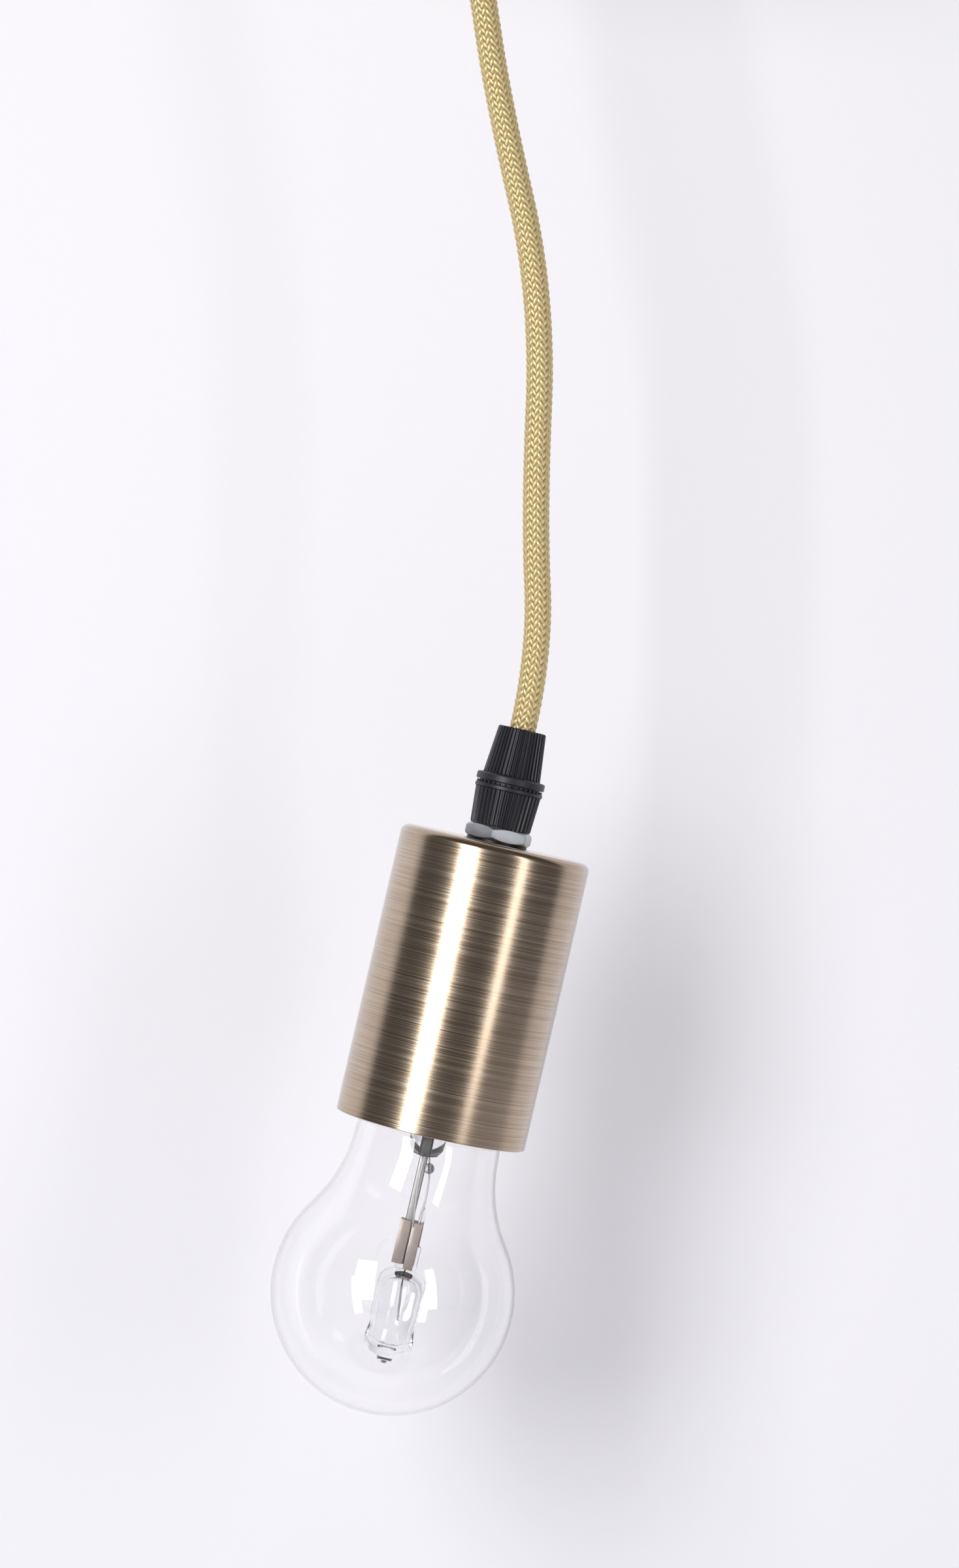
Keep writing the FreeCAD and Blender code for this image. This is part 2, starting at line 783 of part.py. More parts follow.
def cord_lead():
    """The cord's last turn leaves the winding on a tangent and drops through the bush."""
    centre = Vector(drum_x.value, 0, drum_level.value)
    radius = lead_radius_on_drum.value
    first_angle = math.radians(lead_turn.value)

    def on_turn(angle):
        return centre + Vector(radius * math.cos(angle), 0, radius * math.sin(angle))

    arc = Part.Arc(on_turn(first_angle), on_turn(first_angle / 2), on_turn(0)).toShape()
    drop = Part.LineSegment(on_turn(0), Vector(0, 0, -outlet_depth.value)).toShape()
    heading = Vector(math.sin(first_angle), 0, -math.cos(first_angle))
    keep(swept("cord_lead", Part.Wire([arc, drop]), on_turn(first_angle), heading, cord_radius), "cord_lead")


def ring_centres():
    """Where the slip rings' middles stand along the reel's axis."""
    face = drum_inner_half + drum_flange_thickness
    return [-(face + ring_pitch * (number + 0.5)) for number in range(ring_count)]


def brush_block():
    near = -(drum_inner_half + drum_flange_thickness + spigot_length)
    far = -(drum_inner_half + drum_flange_thickness + soft_gap)
    top = -plate_thickness - frame_thickness
    span_x = (drum_x - brush_block_left, drum_x + brush_block_right)
    keep(box("brush_block", (span_x, (near, far), (top - brush_block_height, top))), "brush_block")


def brushes():
    top = -plate_thickness - frame_thickness - brush_block_height
    low = drum_level + ring_radius + soft_gap
    span_x = (drum_x - brush_length / 2, drum_x + brush_length / 2)
    leaves = []
    for centre in ring_centres():
        span_y = (centre - brush_width / 2, centre + brush_width / 2)
        leaves.append(box("brush", (span_x, span_y, (low, top))))
    keep(group("brushes", leaves), "brushes")


def terminal_ys():
    """The three ways of the terminal block: live, earth and neutral."""
    return [terminal_pitch * step for step in (-1, 0, 1)]


def around_insert(name, y, half, height, ends):
    """A bar along X round one terminal's insert, hung from the insert's level."""
    level = -plate_thickness - terminal_depth
    return box(name, (ends, (y - half, y + half), (level - height, level + height)))


def terminal_block():
    top = -plate_thickness
    under = top - block_height
    spans = ((block_x, block_x + block_length), (-block_half_width, block_half_width), (under, top))
    ends = (block_x - seat_gap, block_x + block_length + seat_gap)
    middle = block_x + block_length / 2
    tools = []
    for y in terminal_ys():
        gap_half = insert_half + running_fit
        tools.append(around_insert("insert_way", y, gap_half, gap_half, ends))
        spot = (middle, y, under - seat_gap)
        tools.append(cylinder("screw_hole", insert_screw_radius + running_fit, terminal_depth, spot))
    keep(cut("terminal_block", box("block_solid", spans), fuse("block_holes", tools)), "terminal_block")


def terminal_inserts():
    """Square brass inserts, each bored along its length for the wires."""
    level = -plate_thickness - terminal_depth
    ends = (block_x, block_x + block_length)
    inserts = []
    for y in terminal_ys():
        solid = around_insert("insert_bar", y, insert_half, insert_half, ends)
        bore = rod("insert_bore", insert_bore, (block_x, y, level), (block_x + block_length, y, level))
        inserts.append(cut("insert", solid, bore))
    keep(group("terminal_inserts", inserts), "terminal_inserts")


def terminal_screws():
    high = -plate_thickness - terminal_depth - insert_half - seat_gap
    low = -plate_thickness - block_height + insert_screw_recess
    middle = block_x + block_length / 2
    screws = []
    for y in terminal_ys():
        screws.append(cylinder("terminal_screw", insert_screw_radius, high - low, (middle, y, low)))
    keep(group("terminal_screws", screws), "terminal_screws")


def reel_leads():
    """Three insulated wires from the terminals to the brush block, cut off level with both."""
    start_level = -plate_thickness - terminal_depth
    end_level = -plate_thickness - frame_thickness - wire_end_depth / 2
    block_side = drum_x + brush_block_right
    depth = (start_level - wire_radius * 2, ZERO)
    width = (-canopy_radius, canopy_radius)
    leads = []
    for y, centre in zip(terminal_ys(), reversed(ring_centres())):
        ends = ((block_x, y, start_level), (block_side, centre, end_level))
        long_rod = rod("reel_lead_rod", wire_radius, *ends)
        trims = [
            box("terminal_trim", ((block_x - seat_gap, block_x + block_length), width, depth)),
            box("brush_trim", ((-canopy_radius, block_side + seat_gap), width, depth)),
        ]
        leads.append(cut("reel_lead", long_rod, fuse("lead_trims", trims)))
    keep(group("reel_leads", leads), "reel_leads")


def earth_screw():
    under = -plate_thickness - seat_gap
    spot = (earth_screw_x, earth_screw_y)
    head = cylinder("earth_head", earth_head_radius, earth_head_height, (*spot, under - earth_head_height))
    shank = cylinder("earth_shank", earth_screw_radius, plate_thickness, (*spot, under))
    keep(fuse("earth_screw", [head, shank]), "earth_screw")


# ---- cord and cord grip
def cord():
    keep(tube("cord", cord_points, cord_radius), "cord")


def cord_tail():
    corners = [(ZERO, seat_gap), (cord_radius, seat_gap), (cord_radius, cord_end), (ZERO, cord_end)]
    keep(turned("cord_tail", below(corners)), "cord_tail", head_place)


def grip_cap():
    cone = ribbed_cone("cap_cone", cap_top_radius, cap_base_radius, ZERO, cap_cone_depth)
    collar = cylinder("cap_collar", collar_radius, collar_height, (ZERO, ZERO, -collar_base))
    mouth = cylinder("cap_mouth", cord_radius + cord_bore_gap, collar_base, (ZERO, ZERO, -collar_base))
    inner = neck_radius + running_fit
    bore = cylinder("cap_bore", inner, collar_base - cap_crown, (ZERO, ZERO, -collar_base))
    solid = fuse("cap_solid", [cone, collar])
    keep(cut("grip_cap", solid, fuse("cap_hollow", [mouth, bore])), "grip_cap", head_place)


def grip_body():
    neck_top = cap_crown + soft_gap
    neck = cylinder("grip_neck", neck_radius, flange_top - neck_top, (ZERO, ZERO, -flange_top))
    flange = cylinder("grip_flange", grip_flange_radius, grip_flange_height, (ZERO, ZERO, -grip_cone_top))
    cone = ribbed_cone("grip_cone", grip_top_radius, grip_base_radius, grip_cone_top, grip_base)
    reach = grip_flange_radius - soft_gap
    teeth = []
    for number in range(tooth_count):
        span_y = (-tooth_width / 2, tooth_width / 2)
        levels = (-flange_top, tooth_height - flange_top)
        tooth = box("grip_tooth", ((reach - tooth_length, reach), span_y, levels))
        turn = FreeCAD.Rotation(Vector(0, 0, 1), 360 / tooth_count * number)
        teeth.append(from_turned("grip_tooth_turned", tooth, turn))
    solid = fuse("grip_solid", [neck, flange, cone] + teeth)
    bore = cylinder("grip_bore", cord_radius + cord_bore_gap, grip_base, (ZERO, ZERO, -grip_base))
    thread = cylinder("grip_thread", nipple_radius + running_fit, nipple_engagement, (ZERO, ZERO, -grip_base))
    slot_low = -(neck_top + neck_slot_depth)
    half = neck_slot / 2
    wide = neck_radius + soft_gap
    slots = [
        box("neck_slot", ((-wide, wide), (-half, half), (slot_low, ZERO))),
        box("neck_slot", ((-half, half), (-wide, wide), (slot_low, ZERO))),
    ]
    keep(cut("grip_body", solid, fuse("grip_hollow", [bore, thread] + slots)), "grip_body", head_place)


def from_turned(name, thing, turn):
    """A copy of a piece turned about the upright axis."""
    doc.recompute()
    made = from_shape(name, thing.Shape)
    made.Placement = FreeCAD.Placement(Vector(0, 0, 0), turn).multiply(thing.Placement)
    return made


# ---- fixing and cup
def hex_nut():
    prism = doc.addObject("Part::Prism", "nut_prism")
    prism.Polygon = 6
    corner_radius = nut_flats / math.sqrt(3)
    bind(prism, "Circumradius", corner_radius)
    bind(prism, "Height", nut_height)
    place_by_sizes(prism, (ZERO, ZERO, -nut_base))
    prism.Placement.Rotation = FreeCAD.Rotation(Vector(0, 0, 1), nut_turn.value)
    face_radius = nut_flats / 2
    slope = (corner_radius - face_radius) * nut_chamfer_slope
    hole = nipple_radius + running_fit
    lens = turned(
        "nut_lens",
        below(
            [
                (hole, nut_top),
                (face_radius - nut_chamfer / 2, nut_top),
                (corner_radius + nut_chamfer / 2, nut_top + slope + nut_chamfer / 2),
                (corner_radius + nut_chamfer / 2, nut_base - slope - nut_chamfer / 2),
                (face_radius - nut_chamfer / 2, nut_base),
                (hole, nut_base),
            ]
        ),
    )
    keep(common("hex_nut", prism, lens), "hex_nut", head_place)


def washer():
    bore = nipple_radius + running_fit
    top = nut_base + seat_gap / 2
    base = cup_top - seat_gap / 2
    corners = [(bore, top), (washer_radius, top), (washer_radius, base), (bore, base)]
    keep(turned("washer", below(corners)), "washer", head_place)


def nipple():
    corners = [
        (nipple_bore, nipple_top + soft_gap),
        (nipple_radius, nipple_top + soft_gap),
        (nipple_radius, nipple_base),
        (nipple_bore, nipple_base),
    ]
    keep(turned("nipple", below(corners)), "nipple", head_place)


def cup():
    inner = cup_radius - cup_wall
    hole = nipple_radius + running_fit
    under = cup_top + cup_top_thickness
    corners = [
        (hole, cup_top),
        (cup_radius, cup_top),
        (cup_radius, cup_rim),
        (inner, cup_rim),
        (inner, under),
        (hole, under),
    ]
    body = turned("cup", below(corners))
    rounded_rim(body, cup_radius, -cup_top, cup_edge)
    keep(body, "cup", head_place)


def holder_cap():
    """The holder's upper shell: a solid crown with the nipple's thread over an open wiring chamber."""
    bore = nipple_radius + running_fit
    top = holder_top + seat_gap
    shoulder = holder_top + holder_crown_depth
    chamber = shoulder + holder_wall
    corners = [
        (bore, top),
        (holder_crown_radius, top),
        (holder_radius, shoulder),
        (holder_radius, holder_split),
        (holder_radius - holder_wall, holder_split),
        (holder_radius - holder_wall, chamber),
        (bore, chamber),
    ]
    keep(turned("holder_cap", below(corners)), "holder_cap", head_place)


def holder_body():
    skirt = holder_radius - holder_wall - seat_gap * 2
    bore = shell_inner_radius + shell_wall + seat_gap * 4
    corners = [
        (skirt - holder_wall, holder_split - spigot_rise),
        (skirt, holder_split - spigot_rise),
        (skirt, holder_split + seat_gap),
        (holder_radius, holder_split + seat_gap),
        (holder_radius, holder_rim),
        (bore, holder_rim),
        (bore, shelf_base),
        (wire_way_radius, shelf_base),
        (wire_way_radius, shelf_top),
        (skirt - holder_wall, shelf_top),
    ]
    turned_body = turned("holder_solid", below(corners))
    holes = []
    for x in (centre_post_x, shell_post_x):
        spot = (x, ZERO, -shelf_base - seat_gap)
        holes.append(cylinder("post_hole", post_radius + running_fit, shelf_thickness * 2, spot))
    keep(cut("holder_body", turned_body, fuse("post_holes", holes)), "holder_body", head_place)


def screw_shell():
    outer = shell_inner_radius + shell_wall
    top = shelf_base + seat_gap
    corners = [
        (shell_mouth_radius, top),
        (outer, top),
        (outer, top + shell_length),
        (shell_inner_radius, top + shell_length),
        (shell_inner_radius, top + shell_wall),
        (shell_mouth_radius, top + shell_wall),
    ]
    keep(turned("screw_shell", below(corners)), "screw_shell", head_place)


def centre_contact():
    foot = shelf_base + seat_gap
    corners = [
        (contact_start, foot),
        (contact_bend, foot),
        (contact_nose, shelf_base + contact_rise),
        (contact_end, shelf_base + contact_rise),
        (contact_end, contact_tip),
        (contact_nose, contact_tip),
        (contact_bend, foot + contact_thickness),
        (contact_start, foot + contact_thickness),
    ]
    keep(extruded("centre_contact", below(corners), contact_width / 2), "centre_contact", head_place)


def contact_posts():
    posts = []
    for x in (centre_post_x, shell_post_x):
        posts.append(cylinder("contact_post", post_radius, shelf_thickness, (x, ZERO, -shelf_base)))
    keep(group("contact_posts", posts), "contact_posts", head_place)


def holder_terminals():
    terminals = []
    low = seat_gap - shelf_top
    high = low + terminal_height
    half = terminal_length / 2
    for side in (-1, 1):
        middle = terminal_x * side
        spans = ((middle - half, middle + half), (-terminal_width / 2, terminal_width / 2), (low, high))
        head = cylinder("terminal_head", terminal_head_radius, terminal_head_height, (middle, ZERO, high))
        terminals.append(fuse("holder_terminal", [box("terminal_body", spans), head]))
    keep(group("holder_terminals", terminals), "holder_terminals", head_place)


def core_wires():
    """The cord's two cores, fanned out from its end to the terminals and cut off level with it."""
    cores = []
    start_level = -cord_end
    end_level = terminal_height - shelf_top + terminal_head_height
    width = (-cord_radius * 2, cord_radius * 2)
    for side in (-1, 1):
        start = (core_offset * side, ZERO, start_level)
        end = ((terminal_x - terminal_head_radius - core_radius) * side, ZERO, end_level)
        trim = box("core_trim", (width, width, (start_level - seat_gap, start_level + core_radius * 2)))
        cores.append(cut("core_wire", rod("core_rod", core_radius, start, end), trim))
    keep(group("core_wires", cores), "core_wires", head_place)


# ---- bulb
def bulb_tip():
    base = bulb_base + tip_height
    corners = [
        (ZERO, bulb_base),
        (tip_radius - tip_height, bulb_base),
        (tip_radius, bulb_base + tip_height / 2),
        (tip_radius, base),
        (ZERO, base),
    ]
    keep(turned("bulb_tip", below(corners)), "bulb_tip", head_place)


def bulb_insulator():
    hole = tip_radius + press_gap
    top = bulb_base + tip_height / 2
    floor = bulb_base + tip_height + press_gap
    corners = [
        (hole, top),
        (hole + insulator_face_width, top),
        (insulator_radius, insulator_base),
        (ZERO, insulator_base),
        (ZERO, floor),
        (hole, floor),
    ]
    keep(turned("bulb_insulator", below(corners)), "bulb_insulator", head_place)


def bulb_cap():
    """The thin aluminium cap: a taper to the insulator, the thread's length and a flare over the glass."""
    top = insulator_base + press_gap
    thread_top = top + bulb_cap_taper
    thread_base = bulb_cap_base - bulb_cap_flare_length
    flare = bulb_cap_radius + bulb_cap_flare
    inner = bulb_cap_radius - bulb_cap_wall
    corners = [
        (insulator_radius - bulb_cap_wall, top),
        (insulator_radius + bulb_cap_wall, top),
        (bulb_cap_radius, thread_top),
        (bulb_cap_radius, thread_base),
        (flare, bulb_cap_base),
        (flare - bulb_cap_wall, bulb_cap_base),
        (inner, thread_base),
        (inner, thread_top),
        (insulator_radius - bulb_cap_wall, thread_top),
    ]
    keep(turned("bulb_cap", below(corners)), "bulb_cap", head_place)


def glass_line(inset):
    """The envelope's outline from the pole to the seal, drawn in chords of its two arcs."""
    radius = belly_radius.value - inset
    throat = throat_radius.value + inset
    shoulder = math.radians(shoulder_angle.value)
    straight = math.radians(throat_angle.value)
    reach = belly_radius.value + throat_radius.value
    throat_x = reach * math.cos(shoulder)
    throat_rise = reach * math.sin(shoulder)
    line = []
    for step in range(belly_chords + 1):
        angle = -math.pi / 2 + (math.pi / 2 + shoulder) * step / belly_chords
        line.append(Vector(radius * math.cos(angle), 0, radius * math.sin(angle)))
    for step in range(1, throat_chords + 1):
        angle = shoulder + (straight - shoulder) * step / throat_chords
        line.append(Vector(throat_x - throat * math.cos(angle), 0, throat_rise - throat * math.sin(angle)))
    rise = belly_centre.value - bulb_cap_base.value
    neck = seal_radius.value + neck_flare_width.value - inset
    line.append(Vector(neck, 0, rise - neck_flare_base.value))
    line.append(Vector(seal_radius.value - inset, 0, rise + neck_flare_top.value))
    line.append(Vector(seal_radius.value - inset, 0, belly_centre.value - seal_top.value))
    return [point - Vector(0, 0, belly_centre.value) for point in line]


def bulb_glass():
    outline = glass_line(0) + list(reversed(glass_line(glass_wall.value)))
    face = Part.Face(Part.makePolygon(outline + [outline[0]]))
    shell = face.revolve(Vector(0, 0, 0), Vector(0, 0, 1), 360)
    keep(from_shape("bulb_glass", shell), "bulb_glass", head_place)


def bulb_stem():
    rim = seal_radius - glass_wall - soft_gap
    corners = [
        (ZERO, seal_top),
        (rim, seal_top),
        (stem_radius, seal_top + stem_flare_length),
        (stem_radius, stem_base),
        (ZERO, stem_base),
    ]
    keep(turned("bulb_stem", below(corners)), "bulb_stem", head_place)


def support_strip():
    top = -stem_base - press_gap
    half = strip_thickness / 2
    spans = ((-strip_half_width, strip_half_width), (-half, half), (-strip_base, top))
    keep(group("support_strip", [box("strip", spans)]), "support_strip", head_place)


def clip_plates():
    plates = []
    inner = pinch_thickness / 2 + seat_gap
    levels = (-strip_base, plate_length - strip_base)
    for near, far in ((-(inner + plate_gauge), -inner), (inner, inner + plate_gauge)):
        plates.append(box("clip_plate", ((plate_left, plate_right), (near, far), levels)))
    keep(group("clip_plates", plates), "clip_plates", head_place)


def capsule():
    pinch_low = -capsule_shoulder
    half = pinch_width / 2
    depth = pinch_thickness / 2
    span_x = (capsule_x - half, capsule_x + half)
    pinch = box("capsule_pinch", (span_x, (-depth, depth), (pinch_low, -strip_base - seat_gap)))
    bulge = capsule_base + capsule_bulge_length / 2
    bulge_end = capsule_base + capsule_bulge_length
    inner = capsule_waist - capsule_wall
    chamber = capsule_shoulder + capsule_roof
    corners = [
        (ZERO, capsule_shoulder - seat_gap),
        (pinch_width / 2, capsule_shoulder - seat_gap),
        (capsule_radius, capsule_shoulder + capsule_wall),
        (capsule_waist, capsule_base),
        (capsule_bulge, bulge),
        (exhaust_radius, bulge_end),
        (exhaust_radius, bulge_end + exhaust_length),
        (ZERO, bulge_end + exhaust_length),
        (ZERO, bulge),
        (inner, bulge),
        (inner, chamber),
        (ZERO, chamber),
    ]
    body = turned("capsule_body", below(corners))
    bind(body, "Placement.Base.x", capsule_x)
    keep(fuse("capsule", [pinch, body]), "capsule", head_place)


def lead_wires():
    wires = []
    for side in (-1, 1):
        start = (ZERO, lead_spacing * side, -stem_base - wire_gauge)
        end = (capsule_x, lead_offset * side, plate_length - strip_base - lead_overlap)
        wires.append(rod("lead_wire", wire_gauge, start, end))
    keep(group("lead_wires", wires), "lead_wires", head_place)


def filament():
    top = (capsule_x, ZERO, -capsule_shoulder - capsule_roof - filament_radius)
    low = (capsule_x + filament_lean, ZERO, filament_radius - capsule_base)
    keep(group("filament", [rod("filament_coil", filament_radius, top, low)]), "filament", head_place)


def write_parts():
    doc.recompute()
    for thing in doc.Objects:
        failed = [word for word in thing.State if word in ("Invalid", "Error")]
        if failed:
            raise RuntimeError(thing.Name + " failed to compute")
    for piece in pieces:
        if piece.Shape.isNull() or not piece.Shape.isValid():
            raise RuntimeError(piece.Label + " has no valid shape")
    os.makedirs("parts", exist_ok=True)
    for piece in pieces:
        piece.Shape.exportStep("parts/" + piece.Label + ".step")
        print(piece.Label, len(piece.Shape.Solids), round(piece.Shape.Volume, 1))


ceiling_plate()
canopy()
canopy_screws()
outlet_bush()
bush_nut()
reel_frame()
frame_rivets()
reel_axle()
axle_clips()
drum()
power_spring()
spring_cover()
slip_rings()
cord_winding()
cord_lead()
brush_block()
brushes()
terminal_block()
terminal_inserts()
terminal_screws()
reel_leads()
earth_screw()
cord()
cord_tail()
grip_cap()
grip_body()
hex_nut()
washer()
nipple()
cup()
holder_cap()
holder_body()
screw_shell()
centre_contact()
contact_posts()
holder_terminals()
core_wires()
bulb_tip()
bulb_insulator()
bulb_cap()
bulb_glass()
bulb_stem()
support_strip()
clip_plates()
capsule()
lead_wires()
filament()
write_parts()
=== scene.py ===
import bpy
import bmesh
import math
from mathutils import Matrix, Vector


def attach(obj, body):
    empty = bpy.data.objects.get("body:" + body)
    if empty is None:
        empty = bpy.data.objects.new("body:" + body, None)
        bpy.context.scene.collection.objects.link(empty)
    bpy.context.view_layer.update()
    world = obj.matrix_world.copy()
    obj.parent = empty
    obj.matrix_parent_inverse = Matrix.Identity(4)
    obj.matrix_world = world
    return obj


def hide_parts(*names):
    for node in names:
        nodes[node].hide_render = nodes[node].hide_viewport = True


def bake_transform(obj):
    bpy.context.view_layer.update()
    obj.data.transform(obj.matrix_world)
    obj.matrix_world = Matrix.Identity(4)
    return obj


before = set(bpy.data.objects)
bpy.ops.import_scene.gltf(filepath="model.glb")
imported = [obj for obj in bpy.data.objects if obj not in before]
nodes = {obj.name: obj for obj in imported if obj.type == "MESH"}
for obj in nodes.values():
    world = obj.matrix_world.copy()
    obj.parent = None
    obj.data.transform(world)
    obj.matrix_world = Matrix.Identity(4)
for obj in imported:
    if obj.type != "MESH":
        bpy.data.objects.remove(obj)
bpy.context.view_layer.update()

MM = 0.001
MERGE_DISTANCE = 0.002 * MM
WIRE_MERGE_DISTANCE = 0.001 * MM
SMOOTH_ANGLE = 32.0
ROUND_ANGLE = 60.0
BRAID_ANGLE = 70.0

# ---- the head hangs on the end of the cord, turned about Y
HEAD_TILT = math.radians(13.0)
CORD_EXIT = Vector((14.7, 0.0, -300.3)) * MM
HEAD = Matrix.Translation(CORD_EXIT) @ Matrix.Rotation(HEAD_TILT, 4, "Y")


# =========================================================== camera
CAMERA_PLACE = (5.0 * MM, -0.87, -312.5 * MM)
QUARTER_TURN = (math.radians(90), 0, 0)  # a camera looks level, a plane stands upright


def make_camera():
    bpy.ops.object.camera_add(location=CAMERA_PLACE, rotation=QUARTER_TURN)
    camera = bpy.context.object
    camera.name = "photo_camera"
    camera.data.lens = 88.7
    camera.data.sensor_width = 36.0
    camera.data.clip_start = 0.01
    bpy.context.scene.camera = camera


make_camera()


# =========================================================== cord route
CORD_ROUTE = [
    (0.0, -86.0),
    (0.0, -104.0),
    (5.0, -130.0),
    (9.2, -158.5),
    (19.4, -203.0),
    (17.3, -252.0),
    (18.75, -282.8),
    (14.7, -300.3),
]
CORD_RADIUS = 3.1 * MM


def route_points(name, points, resolution):
    """Points read from the NURBS spline that has the route's points as its control points."""
    curve = bpy.data.curves.new(name, "CURVE")
    curve.dimensions = "3D"
    spline = curve.splines.new("NURBS")
    spline.points.add(len(points) - 1)
    for point, place in zip(spline.points, points):
        point.co = (*place, 1.0)
    spline.order_u = 3
    spline.use_endpoint_u = True
    spline.resolution_u = resolution
    holder = bpy.data.objects.new(name, curve)
    bpy.context.collection.objects.link(holder)
    bpy.context.view_layer.update()
    line = bpy.data.meshes.new_from_object(holder)
    read = [vertex.co.copy() for vertex in line.vertices]
    bpy.data.objects.remove(holder)
    bpy.data.curves.remove(curve)
    bpy.data.meshes.remove(line)
    return read


# =========================================================== modelling helpers
def deselect():
    if bpy.context.object and bpy.context.object.mode != "OBJECT":
        bpy.ops.object.mode_set(mode="OBJECT")
    bpy.ops.object.select_all(action="DESELECT")


def finish_mesh(piece, smooth_angle=SMOOTH_ANGLE):
    """Back to object mode, place applied, shaded smooth up to the angle."""
    deselect()
    piece.select_set(True)
    bpy.context.view_layer.objects.active = piece
    bpy.ops.object.transform_apply(location=True, rotation=True, scale=True)
    bpy.ops.object.shade_smooth_by_angle(angle=math.radians(smooth_angle))
    return piece


def hang(piece):
    """Moves a piece modelled upright about its own axis to its place on the tilted head."""
    deselect()
    piece.select_set(True)
    bpy.context.view_layer.objects.active = piece
    piece.matrix_world = HEAD @ piece.matrix_world
    bpy.ops.object.transform_apply(location=True, rotation=True, scale=True)
    return piece


def turned(name, outline, sides=96, smooth_angle=SMOOTH_ANGLE):
    """A lathe-turned shape: a circle extruded and resized from ring to ring.

    The outline is a list of (radius, depth) in mm. One that comes back to its start makes a sleeve,
    and any other starts from a filled circle and ends on one.
    """
    deselect()
    radius, depth = outline[0]
    place = (0, 0, -depth * MM)
    bpy.ops.mesh.primitive_circle_add(vertices=sides, radius=radius * MM, location=place)
    piece = bpy.context.object
    piece.name = name
    bpy.ops.object.mode_set(mode="EDIT")
    bpy.ops.mesh.select_all(action="SELECT")
    is_solid = outline[0] != outline[-1]
    if is_solid:
        bpy.ops.mesh.edge_face_add()
        bpy.ops.mesh.select_all(action="SELECT")
    for (before, above), (radius, depth) in zip(outline, outline[1:]):
        step = {"value": (0, 0, (above - depth) * MM)}
        if is_solid:
            bpy.ops.mesh.extrude_region_move(TRANSFORM_OT_translate=step)
        else:
            bpy.ops.mesh.extrude_edges_move(TRANSFORM_OT_translate=step)
        share = radius / before
        bpy.ops.transform.resize(value=(share, share, 1), center_override=(0, 0, -depth * MM))
    bpy.ops.mesh.select_all(action="SELECT")
    if not is_solid:
        bpy.ops.mesh.remove_doubles(threshold=MERGE_DISTANCE)
    bpy.ops.mesh.normals_make_consistent(inside=False)
    return finish_mesh(piece, smooth_angle)


def arc(centre, radius, start, end, steps):
    """Outline points along an arc: angles in degrees, 0 outwards and 90 downwards."""
    points = []
    for step in range(steps + 1):
        angle = math.radians(start + (end - start) * step / steps)
        points.append((centre[0] + radius * math.cos(angle), centre[1] + radius * math.sin(angle)))
    return points


def select_vertices(piece, chosen):
    """Selects the vertices for which chosen(place) is true, in edit mode."""
    bpy.ops.object.mode_set(mode="EDIT")
    bpy.ops.mesh.select_all(action="DESELECT")
    bpy.ops.mesh.select_mode(type="VERT")
    mesh = bmesh.from_edit_mesh(piece.data)
    for vertex in mesh.verts:
        vertex.select_set(chosen(piece.matrix_world @ vertex.co))
    mesh.select_flush(True)
    bmesh.update_edit_mesh(piece.data)


def apply_modifier(piece, kind, **settings):
    deselect()
    piece.select_set(True)
    bpy.context.view_layer.objects.active = piece
    modifier = piece.modifiers.new(kind.lower(), kind)
    for key, value in settings.items():
        setattr(modifier, key, value)
    bpy.ops.object.modifier_apply(modifier=modifier.name)


def bar(name, low, high, bevel=0.0):
    """A rectangular bar between two corners in mm, its edges broken."""
    deselect()
    middle = [(a + b) / 2 * MM for a, b in zip(low, high)]
    bpy.ops.mesh.primitive_cube_add(size=1, location=middle)
    piece = bpy.context.object
    piece.name = name
    piece.scale = [(b - a) * MM for a, b in zip(low, high)]
    bpy.ops.object.transform_apply(location=True, rotation=True, scale=True)
    if bevel:
        apply_modifier(piece, "BEVEL", width=bevel * MM, segments=2)
    return finish_mesh(piece)


def joined(name, parts):
    deselect()
    for part in parts:
        part.select_set(True)
    bpy.context.view_layer.objects.active = parts[0]
    bpy.ops.object.join()
    piece = bpy.context.object
    piece.name = name
    return piece


def wire(name, points, radius, resolution=8, sides=2):
    """A round wire bent along points in mm, made a mesh."""
    deselect()
    curve = bpy.data.curves.new(name, "CURVE")
    curve.dimensions = "3D"
    curve.bevel_depth = radius * MM
    curve.bevel_resolution = sides
    curve.use_fill_caps = True
    spline = curve.splines.new("NURBS")
    spline.points.add(len(points) - 1)
    for point, place in zip(spline.points, points):
        point.co = (*(Vector(place) * MM), 1.0)
    spline.order_u = 3
    spline.use_endpoint_u = True
    spline.resolution_u = resolution
    piece = bpy.data.objects.new(name, curve)
    bpy.context.collection.objects.link(piece)
    piece.select_set(True)
    bpy.context.view_layer.objects.active = piece
    bpy.ops.object.convert(target="MESH")
    made = bpy.context.object
    bpy.ops.object.mode_set(mode="EDIT")
    bpy.ops.mesh.select_all(action="SELECT")
    bpy.ops.mesh.remove_doubles(threshold=WIRE_MERGE_DISTANCE)
    bpy.ops.mesh.normals_make_consistent(inside=False)
    return finish_mesh(made, ROUND_ANGLE)


# =========================================================== shader maths
class Socket:
    """A node socket that takes part in Python expressions."""

    def __init__(self, shader, socket):
        self.shader = shader
        self.socket = socket

    def math(self, operation, first, second=None):
        values = {0: first}
        if second is not None:
            values[1] = second
        return self.shader.node("ShaderNodeMath", {"operation": operation}, values)[0]

    def __add__(self, other):
        return self.math("ADD", self, other)

    def __radd__(self, other):
        return self.math("ADD", other, self)

    def __sub__(self, other):
        return self.math("SUBTRACT", self, other)

    def __rsub__(self, other):
        return self.math("SUBTRACT", other, self)

    def __mul__(self, other):
        return self.math("MULTIPLY", self, other)

    def __rmul__(self, other):
        return self.math("MULTIPLY", other, self)

    def __truediv__(self, other):
        return self.math("DIVIDE", self, other)

    def __pow__(self, other):
        return self.math("POWER", self, other)


